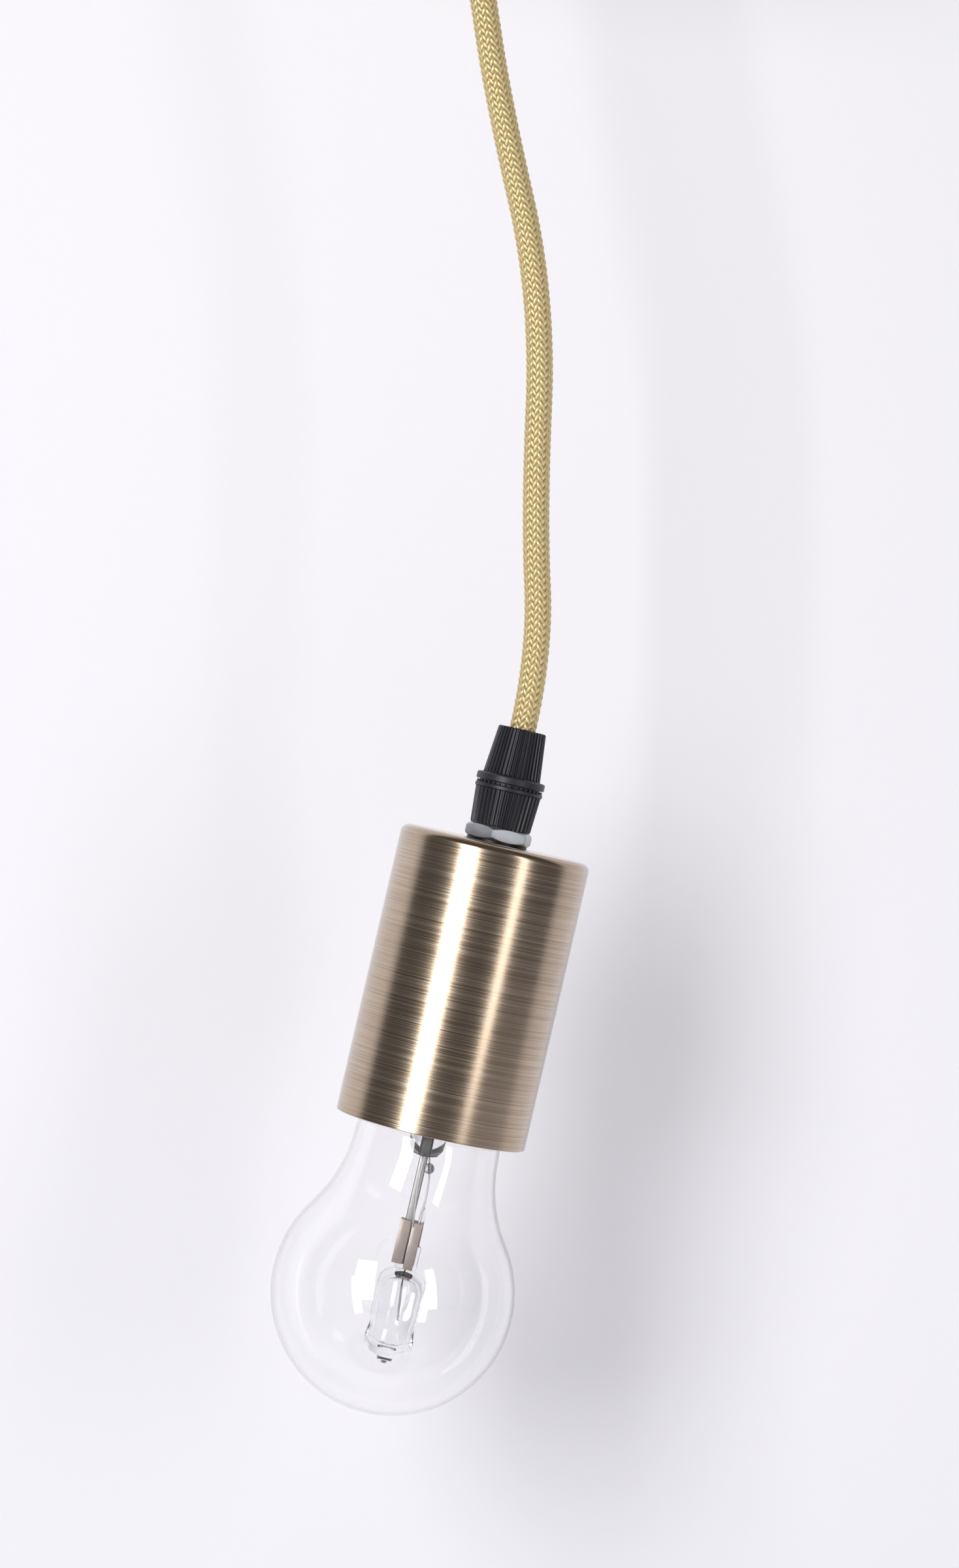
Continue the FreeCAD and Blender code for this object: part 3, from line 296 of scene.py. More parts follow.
class Shader:
    """One material or world and the ways to add nodes to it."""

    def __init__(self, tree):
        self.tree = tree

    def node(self, kind, settings=None, values=None):
        """Adds a node: settings first, then its sockets, and returns its outputs as sockets."""
        made = self.tree.nodes.new(kind)
        for key, value in (settings or {}).items():
            setattr(made, key, value)
        for key, value in (values or {}).items():
            if isinstance(value, Socket):
                self.tree.links.new(value.socket, made.inputs[key])
            else:
                made.inputs[key].default_value = value
        return Outputs(self, made)

    def mix(self, factor, first, second):
        """A mix of two colours."""
        values = {0: factor, 6: first, 7: second}
        return self.node("ShaderNodeMix", {"data_type": "RGBA"}, values)[2]


class Outputs:
    def __init__(self, shader, made):
        self.shader = shader
        self.made = made

    def __getitem__(self, key):
        return Socket(self.shader, self.made.outputs[key])


def rgb(red, green, blue):
    """A display colour, 0 to 255, as a linear colour with alpha."""
    linear = []
    for channel in (red, green, blue):
        share = channel / 255
        linear.append(share / 12.92 if share <= 0.04045 else ((share + 0.055) / 1.055) ** 2.4)
    return (*linear, 1.0)


def new_material(name):
    material = bpy.data.materials.new(name)
    material.use_nodes = True
    material.node_tree.nodes.clear()
    return material, Shader(material.node_tree)


def surface(shader, values):
    """The Principled surface and the material's output."""
    made = shader.node("ShaderNodeBsdfPrincipled", {}, values)
    shader.node("ShaderNodeOutputMaterial", {}, {"Surface": made[0]})


def head_coordinates(shader):
    """Object coordinates turned back upright about the head's own axis, from the cord's end."""
    coordinates = shader.node("ShaderNodeTexCoord")["Object"]
    settings = {"vector_type": "TEXTURE"}
    values = {"Vector": coordinates, "Location": CORD_EXIT, "Rotation": (0, HEAD_TILT, 0)}
    return shader.node("ShaderNodeMapping", settings, values)[0]


def stretched(shader, coordinates, scale):
    values = {"Vector": coordinates, "Scale": scale}
    return shader.node("ShaderNodeMapping", {"vector_type": "POINT"}, values)[0]


def noise(shader, vector, scale, detail=3.0, roughness=0.5):
    values = {"Vector": vector, "Scale": scale, "Detail": detail, "Roughness": roughness}
    return shader.node("ShaderNodeTexNoise", {}, values)["Fac"]


def bump(shader, height, strength, distance):
    values = {"Height": height, "Strength": strength, "Distance": distance}
    return shader.node("ShaderNodeBump", {}, values)[0]


FINE_SCRATCHES = (24, 24, 6000)
BROAD_SCRATCHES = (16, 16, 3300)


def brushed_brass(name, on_head):
    """Antique brass brushed round its axis: long fine scratches, a little tarnish."""
    material, shader = new_material(name)
    place = head_coordinates(shader) if on_head else shader.node("ShaderNodeTexCoord")["Object"]
    fine = noise(shader, stretched(shader, place, FINE_SCRATCHES), 1.0, 4.0, 0.7)
    broad = noise(shader, stretched(shader, place, BROAD_SCRATCHES), 1.0, 3.0, 0.6)
    cloud = noise(shader, place, 60.0, 3.0)
    streak = fine * 0.5 + broad * 0.5
    limits = {"Value": streak, "From Min": 0.38, "From Max": 0.62}
    contrast = shader.node("ShaderNodeMapRange", {}, limits)[0]
    base = shader.mix(contrast, rgb(156, 134, 112), rgb(202, 184, 162))
    colour = shader.mix(cloud * 0.3, base, rgb(158, 136, 104))
    surface(
        shader,
        {
            "Base Color": colour,
            "Metallic": 1.0,
            "Roughness": 0.18 + contrast * 0.1,
            "Coat Weight": 0.8,
            "Coat Roughness": 0.2,
            "Normal": bump(shader, streak, 0.3, 0.00004),
        },
    )
    return material


def plain_metal(name, colour, roughness, grain=900.0):
    material, shader = new_material(name)
    place = shader.node("ShaderNodeTexCoord")["Object"]
    mottle = noise(shader, place, grain, 3.0)
    darker = tuple(channel * 0.78 for channel in colour[:3]) + (1.0,)
    surface(
        shader,
        {
            "Base Color": shader.mix(mottle, darker, colour),
            "Metallic": 1.0,
            "Roughness": roughness + mottle * 0.12,
            "Normal": bump(shader, mottle, 0.12, 0.00005),
        },
    )
    return material


def moulded_plastic(name, colour, roughness, grain=1600.0):
    material, shader = new_material(name)
    place = shader.node("ShaderNodeTexCoord")["Object"]
    sand = noise(shader, place, grain, 2.0)
    cloud = noise(shader, place, 120.0, 2.0)
    lighter = tuple(min(1.0, channel * 1.5 + 0.004) for channel in colour[:3]) + (1.0,)
    surface(
        shader,
        {
            "Base Color": shader.mix(cloud * 0.6, colour, lighter),
            "Roughness": roughness + sand * 0.1,
            "Normal": bump(shader, sand, 0.15, 0.00004),
        },
    )
    return material


def clear_glass(name, tint, ior, waviness):
    """Blown glass, its surface gently uneven."""
    material, shader = new_material(name)
    place = shader.node("ShaderNodeTexCoord")["Object"]
    ripple = noise(shader, place, 35.0, 0.0)
    smear = noise(shader, place, 140.0, 3.0)
    surface(
        shader,
        {
            "Base Color": tint,
            "Roughness": smear ** 6 * 0.05,
            "IOR": ior,
            "Transmission Weight": 1.0,
            "Normal": bump(shader, ripple, waviness, 0.001),
        },
    )
    return material


STRAND_STEP = 3
# The dark gold used as painted shade: along the strands' edges and between the stitches.
PAINTED_YARN_SHADE = rgb(160, 122, 60)


def gold_yarn(name):
    """Shiny gold yarn: fine filaments run along each strand's own length, from its UV map.

    The map's X runs one to each side of a multiple of STRAND_STEP, which is the strand's middle.
    """
    material, shader = new_material(name)
    strand = shader.node("ShaderNodeUVMap", {"uv_map": "strand"})[0]
    filaments = noise(shader, stretched(shader, strand, (9, 0.8, 1)), 1.0, 3.0, 0.7)
    patches = noise(shader, stretched(shader, strand, (0.4, 0.12, 1)), 1.0, 2.0)
    across = shader.node("ShaderNodeSeparateXYZ", {}, {0: strand})["X"]
    strand_middle = across.math("ROUND", across / STRAND_STEP) * STRAND_STEP
    edge = across.math("ABSOLUTE", across - strand_middle)
    thread = shader.mix(filaments, rgb(238, 210, 138), rgb(255, 245, 198))
    # Painted shade: each strand darkens towards its two edges, where it bends down under its
    # neighbours.
    shaded = shader.mix(edge ** 2 * 0.85, thread, PAINTED_YARN_SHADE)
    colour = shader.mix(patches * 0.3, shaded, rgb(218, 188, 122))
    surface(
        shader,
        {
            "Base Color": colour,
            "Metallic": 0.55,
            "Roughness": 0.3 + filaments * 0.15,
            "Specular IOR Level": 0.9,
            "Normal": bump(shader, filaments, 0.5, 0.00006),
        },
    )
    return material


WEAVE_SCALE = 190.0
WEAVE_SLANT = math.radians(45.0)


def woven_yarn(name):
    """The same yarn seen as a finished braid: two crossing sets of slanted stitches."""
    material, shader = new_material(name)
    place = shader.node("ShaderNodeTexCoord")["Object"]
    heights = []
    for slant in (WEAVE_SLANT, -WEAVE_SLANT):
        values = {"Vector": place, "Rotation": (slant, 0, slant)}
        slanted = shader.node("ShaderNodeMapping", {}, values)[0]
        values = {"Vector": slanted, "Scale": WEAVE_SCALE, "Distortion": 0.4}
        heights.append(shader.node("ShaderNodeTexWave", {}, values)["Fac"])
    # Painted shade: where the stitch pattern is low, between the raised stitches, the colour
    # darkens to the painted yarn shade.
    stitch = heights[0] * heights[1]
    surface(
        shader,
        {
            "Base Color": shader.mix(stitch, PAINTED_YARN_SHADE, rgb(250, 230, 168)),
            "Metallic": 0.5,
            "Roughness": 0.45 - stitch * 0.12,
            "Normal": bump(shader, stitch, 0.8, 0.0003),
        },
    )
    return material


SODA_GLASS_IOR = 1.5
QUARTZ_IOR = 1.46
COARSE_GRAIN = 500.0
materials = {
    "head_brass": brushed_brass("head_brass", True),
    "canopy_brass": brushed_brass("canopy_brass", False),
    "bright_brass": plain_metal("bright_brass", rgb(214, 180, 110), 0.22),
    "zinc": plain_metal("zinc", rgb(214, 219, 225), 0.42, COARSE_GRAIN),
    "dark_steel": plain_metal("dark_steel", rgb(58, 56, 54), 0.35),
    "nickel": plain_metal("nickel", rgb(226, 224, 220), 0.4),
    "clip_metal": plain_metal("clip_metal", rgb(206, 192, 182), 0.42),
    "aluminium": plain_metal("aluminium", rgb(205, 205, 208), 0.25),
    "black_nylon": moulded_plastic("black_nylon", rgb(36, 36, 44), 0.38),
    "grey_nylon": moulded_plastic("grey_nylon", rgb(186, 186, 178), 0.45),
    "holder_black": moulded_plastic("holder_black", rgb(34, 31, 29), 0.42),
    "white_plastic": moulded_plastic("white_plastic", rgb(232, 231, 224), 0.3),
    "brown_insulation": moulded_plastic("brown_insulation", rgb(110, 70, 44), 0.35),
    "black_glass": moulded_plastic("black_glass", rgb(20, 20, 22), 0.12),
    "bulb_glass": clear_glass("bulb_glass", (1, 1, 1, 1), SODA_GLASS_IOR, 0.004),
    "quartz": clear_glass("quartz", (0.985, 0.99, 1, 1), QUARTZ_IOR, 0.15),
    "gold_yarn": gold_yarn("gold_yarn"),
    "woven_yarn": woven_yarn("woven_yarn"),
    # The core's dark gold is painted shade for the gaps of the braid.
    "yarn_shade": moulded_plastic("yarn_shade", rgb(132, 100, 50), 0.7),
    "tungsten": plain_metal("tungsten", rgb(70, 66, 64), 0.4),
}


def paint(piece, material):
    piece.data.materials.clear()
    piece.data.materials.append(materials[material])
    return piece


# =========================================================== cord
STRANDS_EACH_WAY = 16
LAY = 26.4 * MM
STRAND_HALF_WIDTH = 0.52 * MM
STRAND_HALF_HEIGHT = 0.3 * MM
WEAVE_HEIGHT = 0.2 * MM
STRAND_SECTION = [(-1.0, 0.0), (-0.6, 0.72), (0.0, 1.0), (0.6, 0.72), (1.0, 0.0), (0.0, -0.5)]


def strand_rings(centreline, distances, radius, direction, number):
    """One strand's points and their places in its UV map, ring by ring along the cord."""
    middle_radius = radius - WEAVE_HEIGHT - STRAND_HALF_HEIGHT
    crossings = 2 * STRANDS_EACH_WAY
    across = Vector((0, 1, 0))
    points, places = [], []
    for index, (centre, along) in enumerate(zip(centreline, distances)):
        ahead = centreline[min(index + 1, len(centreline) - 1)]
        behind = centreline[max(index - 1, 0)]
        tangent = (ahead - behind).normalized()
        up = tangent.cross(across).normalized()
        angle = direction * 2 * math.pi * along / LAY + 2 * math.pi * number / STRANDS_EACH_WAY
        step = 2 * number + direction * crossings * along / LAY
        lift = direction * WEAVE_HEIGHT * math.cos(math.pi * (step - 0.5) / 2)
        outward = across * math.cos(angle) + up * math.sin(angle)
        round_way = up * math.cos(angle) - across * math.sin(angle)
        turn_rate = direction * 2 * math.pi * radius / LAY
        sideways = (round_way - tangent * turn_rate).normalized()
        ridge = centre + outward * (middle_radius + lift)
        for x, y in STRAND_SECTION:
            drop = (x * STRAND_HALF_WIDTH) ** 2 / (2 * radius) / 2
            rise = outward * (y * STRAND_HALF_HEIGHT - drop)
            points.append(ridge + sideways * (x * STRAND_HALF_WIDTH) + rise)
            places.append((x + STRAND_STEP * (2 * number + direction), along / MM))
    return points, places


def strand_faces(first, rings, direction):
    """The faces round one strand and over its two ends, turned outwards for its direction."""
    count = len(STRAND_SECTION)
    faces = []
    for ring in range(rings - 1):
        for corner in range(count):
            following = (corner + 1) % count
            low = first + ring * count
            high = low + count
            faces.append((low + corner, low + following, high + following, high + corner))
    faces.append(tuple(first + corner for corner in range(count))[::-1])
    faces.append(tuple(first + (rings - 1) * count + corner for corner in range(count)))
    return faces if direction == 1 else [face[::-1] for face in faces]


def braid(name, centreline, radius):
    """Flat strands both ways round the cord, each over two and under two of the others."""
    distance = 0.0
    distances = [0.0]
    for before, after in zip(centreline, centreline[1:]):
        distance += (after - before).length
        distances.append(distance)
    vertices, faces, strand_uv = [], [], []
    for direction in (1, -1):
        for number in range(STRANDS_EACH_WAY):
            faces += strand_faces(len(vertices), len(centreline), direction)
            points, places = strand_rings(centreline, distances, radius, direction, number)
            vertices += points
            strand_uv += places
    mesh = bpy.data.meshes.new(name)
    mesh.from_pydata(vertices, [], faces)
    layer = mesh.uv_layers.new(name="strand")
    for loop in mesh.loops:
        layer.data[loop.index].uv = strand_uv[loop.vertex_index]
    mesh.validate()
    mesh.update()
    piece = bpy.data.objects.new(name, mesh)
    bpy.context.collection.objects.link(piece)
    deselect()
    piece.select_set(True)
    bpy.context.view_layer.objects.active = piece
    bpy.ops.object.mode_set(mode="EDIT")
    bpy.ops.mesh.select_all(action="SELECT")
    bpy.ops.mesh.normals_make_consistent(inside=False)
    return finish_mesh(piece, BRAID_ANGLE)


ROUTE_RESOLUTION = 70
CORE_RADIUS = 2.55


def make_cord():
    controls = [Vector((x, 0.0, z)) * MM for x, z in CORD_ROUTE]
    centreline = route_points("cord_route", controls, ROUTE_RESOLUTION)
    cord = braid("cord_braid", centreline, CORD_RADIUS)
    paint(cord, "gold_yarn")
    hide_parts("cord")
    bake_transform(cord)
    core = wire("cord_core", [(x, 0.0, z) for x, z in CORD_ROUTE], CORE_RADIUS, 24, 3)
    # The core is a real part, but its dark gold is painted shade: it shows in the braid's gaps as
    # their shade.
    paint(core, "yarn_shade")
    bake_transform(core)
    return cord, centreline


cord_piece, cord_line = make_cord()


# =========================================================== cord grip
RIBS = 40
COLUMNS_PER_RIB = 4
TEETH = 36
RIB_ANGLE = 28.0
CORD_MOUTH = 3.3
CAP_BORE = 4.95
BODY_BORE = 3.35
SLEEVE = 4.8


def ribbed(piece, top, base, share_pressed, reach):
    """Presses half the columns of a turned piece inwards, which leaves its ribs standing.

    The grooves run from depth top to depth base in mm, and only outside the radius reach.
    """
    sides = RIBS * COLUMNS_PER_RIB

    def in_a_groove(place):
        turn = math.atan2(place.y, place.x) / (2 * math.pi)
        column = round(turn * sides) % COLUMNS_PER_RIB
        depth = -place.z / MM
        radius = math.hypot(place.x, place.y) / MM
        return column in (2, 3) and top <= depth <= base and radius > reach

    select_vertices(piece, in_a_groove)
    share = 1 - share_pressed
    bpy.ops.transform.resize(value=(share, share, 1), center_override=(0, 0, 0))
    return finish_mesh(piece, RIB_ANGLE)


def grip_cap():
    """The ribbed cone with its collar, hollow below for the teeth's ring and the sleeve."""
    outline = [(CORD_MOUTH, 0.0), (5.2, 0.0), (5.45, 0.25), (6.5, 10.6), (6.6, 10.9)]
    outline += [(7.5, 11.0), (7.8, 11.3), (7.8, 12.5), (7.6, 12.7), (7.2, 12.7), (7.2, 12.2)]
    outline += [(CAP_BORE, 12.2), (CAP_BORE, 4.0), (CORD_MOUTH, 4.0), (CORD_MOUTH, 0.0)]
    piece = turned("grip_cap_ribbed", outline, RIBS * COLUMNS_PER_RIB)
    ribbed(piece, top=0.2, base=10.7, share_pressed=0.08, reach=5.3)
    hang(piece)
    paint(piece, "black_nylon")
    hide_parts("grip_cap")
    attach(piece, "grip")
    return piece


def grip_body():
    """The sleeve inside the cap, the ring of teeth under the collar, and the ribbed lower cone."""
    outline = [(BODY_BORE, 4.4), (SLEEVE, 4.4), (SLEEVE, 12.4), (6.9, 12.4), (6.9, 13.3)]
    outline += [(7.4, 13.3), (7.7, 13.5), (7.7, 14.2), (7.45, 14.4), (6.9, 22.3), (6.7, 22.6)]
    outline += [(BODY_BORE, 22.6), (BODY_BORE, 4.4)]
    piece = turned("grip_body_ribbed", outline, RIBS * COLUMNS_PER_RIB)
    ribbed(piece, top=14.35, base=22.4, share_pressed=0.07, reach=6.6)
    teeth = []
    for number in range(TEETH):
        tooth = bar("grip_tooth", (6.6, -0.28, -13.32), (7.5, 0.28, -12.85), 0.06)
        tooth.rotation_euler[2] = 2 * math.pi * number / TEETH
        teeth.append(finish_mesh(tooth))
    piece = joined("grip_body_ribbed", [piece] + teeth)
    hang(piece)
    paint(piece, "black_nylon")
    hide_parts("grip_body")
    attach(piece, "head")


grip_piece = grip_cap()
grip_body()


# =========================================================== nut and washer
NUT_TURN = math.radians(50.0)


def hex_nut():
    """A hexagon cut down at its corners by a chamfering cone from each side."""
    deselect()
    flats = 14.0
    corner = flats / math.sqrt(3)
    top, base, bore = 22.66, 25.74, 5.05
    face, reach, chamfer = 6.75, 8.5, 0.95
    bpy.ops.mesh.primitive_cylinder_add(
        vertices=6,
        radius=corner * MM,
        depth=(base - top) * MM,
        location=(0, 0, -(top + base) / 2 * MM),
    )
    nut = bpy.context.object
    nut.name = "nut_chamfered"
    nut.rotation_euler[2] = NUT_TURN
    finish_mesh(nut)
    lens_outline = [(bore, top), (face, top), (reach, top + chamfer), (reach, base - chamfer)]
    lens_outline += [(face, base), (bore, base), (bore, top)]
    lens = turned("nut_lens", lens_outline, 96)
    deselect()
    apply_modifier(nut, "BOOLEAN", operation="INTERSECT", object=lens, solver="EXACT")
    bpy.data.objects.remove(lens)
    apply_modifier(nut, "BEVEL", width=0.12 * MM, segments=2, angle_limit=math.radians(25))
    finish_mesh(nut, smooth_angle=24.0)
    hang(nut)
    paint(nut, "zinc")
    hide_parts("hex_nut")
    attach(nut, "head")


hex_nut()


# =========================================================== lampholder cup
def cup():
    """The brass cup: flat top with a rounded edge, thin wall, edges of the rim broken."""
    top, rim, radius, wall, edge = 26.25, 92.25, 21.7, 0.8, 1.9
    hole, crown, corner = 5.08, 1.0, 0.6
    inner = radius - wall
    outline = [(hole, top), (radius - edge, top)]
    outline += arc((radius - edge, top + edge), edge, -90, 0, 8)[1:]
    outline += [(radius, rim - 0.15), (radius - 0.15, rim), (inner + 0.1, rim), (inner, rim - 0.1)]
    outline += [(inner, top + crown + corner), (inner - corner, top + crown)]
    outline += [(hole, top + crown), (hole, top)]
    piece = hang(turned("cup_brushed", outline, 160))
    paint(piece, "head_brass")
    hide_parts("cup")
    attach(piece, "head")


cup()


# =========================================================== bulb
BELLY_CENTRE = 129.95
BELLY_RADIUS = 27.5
THROAT_RADIUS = 33.1
SHOULDER_ANGLE = 35.0
THROAT_ANGLE = 3.0
POLE_ANGLE = 89.0
BELLY_STEPS = 44
THROAT_STEPS = 18
GLASS_WALL = 0.6


def bulb_outline(inset):
    """The envelope from the pole up to the seal: belly and throat as two tangent arcs."""
    radius = BELLY_RADIUS - inset
    belly = arc((0.0, BELLY_CENTRE), radius, POLE_ANGLE, -SHOULDER_ANGLE, BELLY_STEPS)
    reach = BELLY_RADIUS + THROAT_RADIUS
    shoulder = math.radians(SHOULDER_ANGLE)
    centre = (reach * math.cos(shoulder), BELLY_CENTRE - reach * math.sin(shoulder))
    bend = THROAT_RADIUS + inset
    throat = []
    for step in range(1, THROAT_STEPS + 1):
        turn = (THROAT_ANGLE - SHOULDER_ANGLE) * step / THROAT_STEPS
        angle = math.radians(SHOULDER_ANGLE + turn)
        throat.append((centre[0] - bend * math.cos(angle), centre[1] + bend * math.sin(angle)))
    neck = [(16.35, 93.6), (15.9, 92.2), (14.9, 91.0), (13.6, 89.9)]
    neck += [(12.75, 88.9), (12.4, 87.6), (12.4, 76.0)]
    return belly + throat + [(neck_radius - inset, depth) for neck_radius, depth in neck]


def bulb_envelope():
    """Both skins in one outline: from the outer pole up to the seal and back to the inner pole."""
    skins = bulb_outline(0.0) + bulb_outline(GLASS_WALL)[::-1]
    piece = hang(turned("bulb_envelope", skins, sides=128, smooth_angle=50.0))
    paint(piece, "bulb_glass")
    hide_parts("bulb_glass")
    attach(piece, "bulb")


def bulb_screw_cap():
    """The thin aluminium cap with the rounded rings of its thread and a flare over the glass."""
    turn_count, steps_per_turn = 5, 8
    thread_radius, thread_height, thread_top = 12.75, 0.35, 69.0
    pitch = 3.629 * 0.92  # the thread's pitch, drawn in a little so that the rings fit the cap
    outline = [(9.6, 65.5), (10.4, 65.5), (12.6, 67.6)]
    for step in range(turn_count * steps_per_turn + 1):
        ring = step / steps_per_turn
        radius = thread_radius + thread_height * math.sin(2 * math.pi * ring)
        outline.append((radius, thread_top + pitch * ring))
    outline += [(12.7, 86.8), (13.1, 87.6), (14.45, 89.2), (14.45, 90.4), (14.1, 90.4)]
    outline += [(14.0, 89.4), (12.5, 87.8), (12.45, 69.0), (9.6, 66.2), (9.6, 65.5)]
    piece = hang(turned("bulb_screw_cap", outline, 96, ROUND_ANGLE))
    paint(piece, "aluminium")
    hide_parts("bulb_cap")
    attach(piece, "bulb")


def bulb_stem():
    """The flare and the pressed glass stem that carries the metalwork, with the bead on it."""
    bead_radius, bead_depth, bead_offset = 1.25, 101.0, 1.7
    outline = [(11.6, 76.0), (11.3, 78.5), (8.6, 82.5), (5.6, 86.5), (4.4, 90.5)]
    outline += [(4.2, 94.0), (3.9, 96.6), (2.9, 98.1), (0.6, 98.7)]
    stem = turned("stem_glass", outline, 64, ROUND_ANGLE)
    bead = turned("stem_bead", arc((0.0, bead_depth), bead_radius, -85, 85, 12), 32, ROUND_ANGLE)
    bead.location.x += bead_offset * MM
    finish_mesh(bead, ROUND_ANGLE)
    piece = hang(joined("stem_glass", [stem, bead]))
    paint(piece, "quartz")
    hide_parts("bulb_stem")
    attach(piece, "bulb")


def support_strip():
    """The long strip, its two edges folded back."""
    half, sheet, front, back, top, foot = 0.92, 0.22, -0.55, 0.55, -93.0, -123.2
    parts = [
        bar("strip_front", (-half, front, foot), (half, -0.3, top), 0.05),
        bar("strip_left", (-half, front, foot), (sheet - half, back, top), 0.05),
        bar("strip_right", (half - sheet, front, foot), (half, back, top), 0.05),
    ]
    piece = hang(joined("strip_folded", parts))
    paint(piece, "nickel")
    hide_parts("support_strip")
    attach(piece, "bulb")


def clip_plates():
    """The two front plates, the back plate and the bridges between them."""
    parts = [
        bar("clip_left", (-1.9, -1.6, -123.2), (0.5, -1.2, -113.3), 0.08),
        bar("clip_right", (0.9, -1.8, -124.2), (3.1, -1.4, -113.6), 0.08),
        bar("clip_back", (-1.9, 1.2, -123.2), (3.1, 1.6, -113.3), 0.08),
        bar("clip_bridge", (-1.9, -1.4, -114.2), (-1.6, 1.4, -113.3), 0.05),
        bar("clip_bridge", (2.8, -1.5, -114.4), (3.1, 1.5, -113.5), 0.05),
    ]
    piece = hang(joined("clip_pressed", parts))
    paint(piece, "clip_metal")
    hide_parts("clip_plates")
    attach(piece, "bulb")


def capsule():
    """The thick little quartz vessel with its waist, second bulge and exhaust tip."""
    shoulder, waist, low, offset = 124.9, 137.2, 143.8, 1.5
    outer = [(0.8, shoulder - 0.9), (2.6, shoulder - 0.7), (4.3, shoulder + 0.1)]
    outer += [(5.2, shoulder + 1.3), (5.5, shoulder + 3.0), (5.5, waist - 3.0)]
    outer += [(5.35, waist - 1.2), (5.1, waist), (5.3, waist + 1.4), (5.6, waist + 3.2)]
    outer += [(5.4, waist + 4.8), (4.6, low - 0.6), (3.0, low + 0.3), (1.9, low + 0.7)]
    outer += [(1.6, low + 1.5), (0.9, low + 2.1), (0.3, low + 2.3)]
    body = turned("capsule_outer", outer, 64, ROUND_ANGLE)
    inner = [(0.4, shoulder + 0.9), (1.8, shoulder + 1.1), (3.6, shoulder + 2.0)]
    inner += [(4.3, shoulder + 4.0), (4.2, waist - 2.0), (3.9, waist), (4.2, waist + 2.6)]
    inner += [(4.0, low - 3.0), (2.6, low - 1.9), (0.5, low - 1.6)]
    hollow = turned("capsule_inner", inner, 64, ROUND_ANGLE)
    deselect()
    hollow.select_set(True)
    bpy.context.view_layer.objects.active = hollow
    bpy.ops.object.mode_set(mode="EDIT")
    bpy.ops.mesh.select_all(action="SELECT")
    bpy.ops.mesh.flip_normals()
    deselect()
    pinch = bar("capsule_pinch", (-2.5, -1.1, -124.3), (2.5, 1.1, -118.6), 0.4)
    bend = [(0.6, 0, -118.6), (0.6, 0, -110.5), (1.6, 0, -110.0), (1.6, 0, -118.6)]
    loop = wire("capsule_loop", bend, 0.36)
    piece = joined("capsule_quartz", [body, hollow, pinch, loop])
    piece.location.x += offset * MM
    finish_mesh(piece, ROUND_ANGLE)
    hang(piece)
    paint(piece, "quartz")
    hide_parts("capsule")
    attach(piece, "bulb")


LEAD_WIRE_RADIUS = 0.22
FILAMENT_TURNS = 20
FILAMENT_POINTS = 160
COIL_RADIUS = 0.28
COIL_TOP = 127.4
COIL_LENGTH = 8.4


def metalwork():
    """The two lead wires and the coiled filament on its leg."""
    left_run = [(0.2, -1.2, -97.5), (-0.2, -2.4, -103), (0.6, -2.4, -110), (1.0, -2.0, -114.5)]
    right_run = [(0.8, 1.2, -97.0), (1.9, 1.6, -101), (2.6, 0.4, -106)]
    right_run += [(2.4, -0.6, -111), (2.2, -1.4, -114.5)]
    left = wire("lead_left", left_run, LEAD_WIRE_RADIUS)
    right = wire("lead_right", right_run, LEAD_WIRE_RADIUS)
    leads = hang(joined("lead_wires_bent", [left, right]))
    paint(leads, "nickel")
    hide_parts("lead_wires")
    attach(leads, "bulb")
    coil_points = []
    for step in range(FILAMENT_POINTS + 1):
        share = step / FILAMENT_POINTS
        angle = 2 * math.pi * FILAMENT_TURNS * share
        x = 1.6 + 0.9 * share + COIL_RADIUS * math.cos(angle)
        coil_points.append((x, COIL_RADIUS * math.sin(angle), -(COIL_TOP + COIL_LENGTH * share)))
    filament = wire("filament_coil", coil_points, radius=0.07, resolution=2, sides=1)
    top_leg = wire("filament_leg", [(1.5, 0, -120.0), (1.5, 0, -124), (1.6, 0, -COIL_TOP)], 0.16)
    filament = hang(joined("filament_coiled", [filament, top_leg]))
    paint(filament, "tungsten")
    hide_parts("filament")
    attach(filament, "bulb")


bulb_envelope()
bulb_screw_cap()
bulb_stem()
support_strip()
clip_plates()
capsule()
metalwork()


# =========================================================== ceiling canopy
def canopy():
    """The brass canopy: a turned can with a rounded lower edge and the hole for the outlet."""
    radius, height, wall, edge, top, hole = 59.0, 82.0, 1.0, 1.9, 0.5, 6.0
    centre = (radius - edge, height - edge)
    outline = [(radius, top), (radius, height - edge)]
    outline += arc(centre, edge, 0, 90, 8)[1:]
    outline += [(hole, height), (hole, height - wall)]
    outline += arc(centre, edge - wall, 90, 0, 4)
    outline += [(radius - wall, top), (radius, top)]
    piece = turned("canopy_brushed", outline, 192)
    paint(piece, "canopy_brass")
    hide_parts("canopy")
    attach(piece, "ceiling_unit")


canopy()


# =========================================================== carried-over CAD pieces
FINISHES = {
    "zinc": (
        "ceiling_plate",
        "reel_frame",
        "reel_axle",
        "terminal_screws",
        "nipple",
        "spring_cover",
        "bulb_tip",
    ),
    # The washer is a real part, and its dark steel also stands for the thin line of shade under the
    # nut.
    "dark_steel": ("washer", "axle_clips", "power_spring"),
    "aluminium": ("frame_rivets",),
    "bright_brass": (
        "bush_nut",
        "brushes",
        "terminal_inserts",
        "earth_screw",
        "slip_rings",
        "screw_shell",
        "centre_contact",
        "contact_posts",
        "holder_terminals",
    ),
    "canopy_brass": ("canopy_screws", "outlet_bush"),
    "holder_black": ("brush_block", "holder_cap", "holder_body"),
    "grey_nylon": ("drum",),
    "white_plastic": ("terminal_block",),
    "brown_insulation": ("reel_leads", "core_wires"),
    "black_glass": ("bulb_insulator",),
}
for finish, names in FINISHES.items():
    for name in names:
        nodes[name].data.materials.clear()
        nodes[name].data.materials.append(materials[finish])


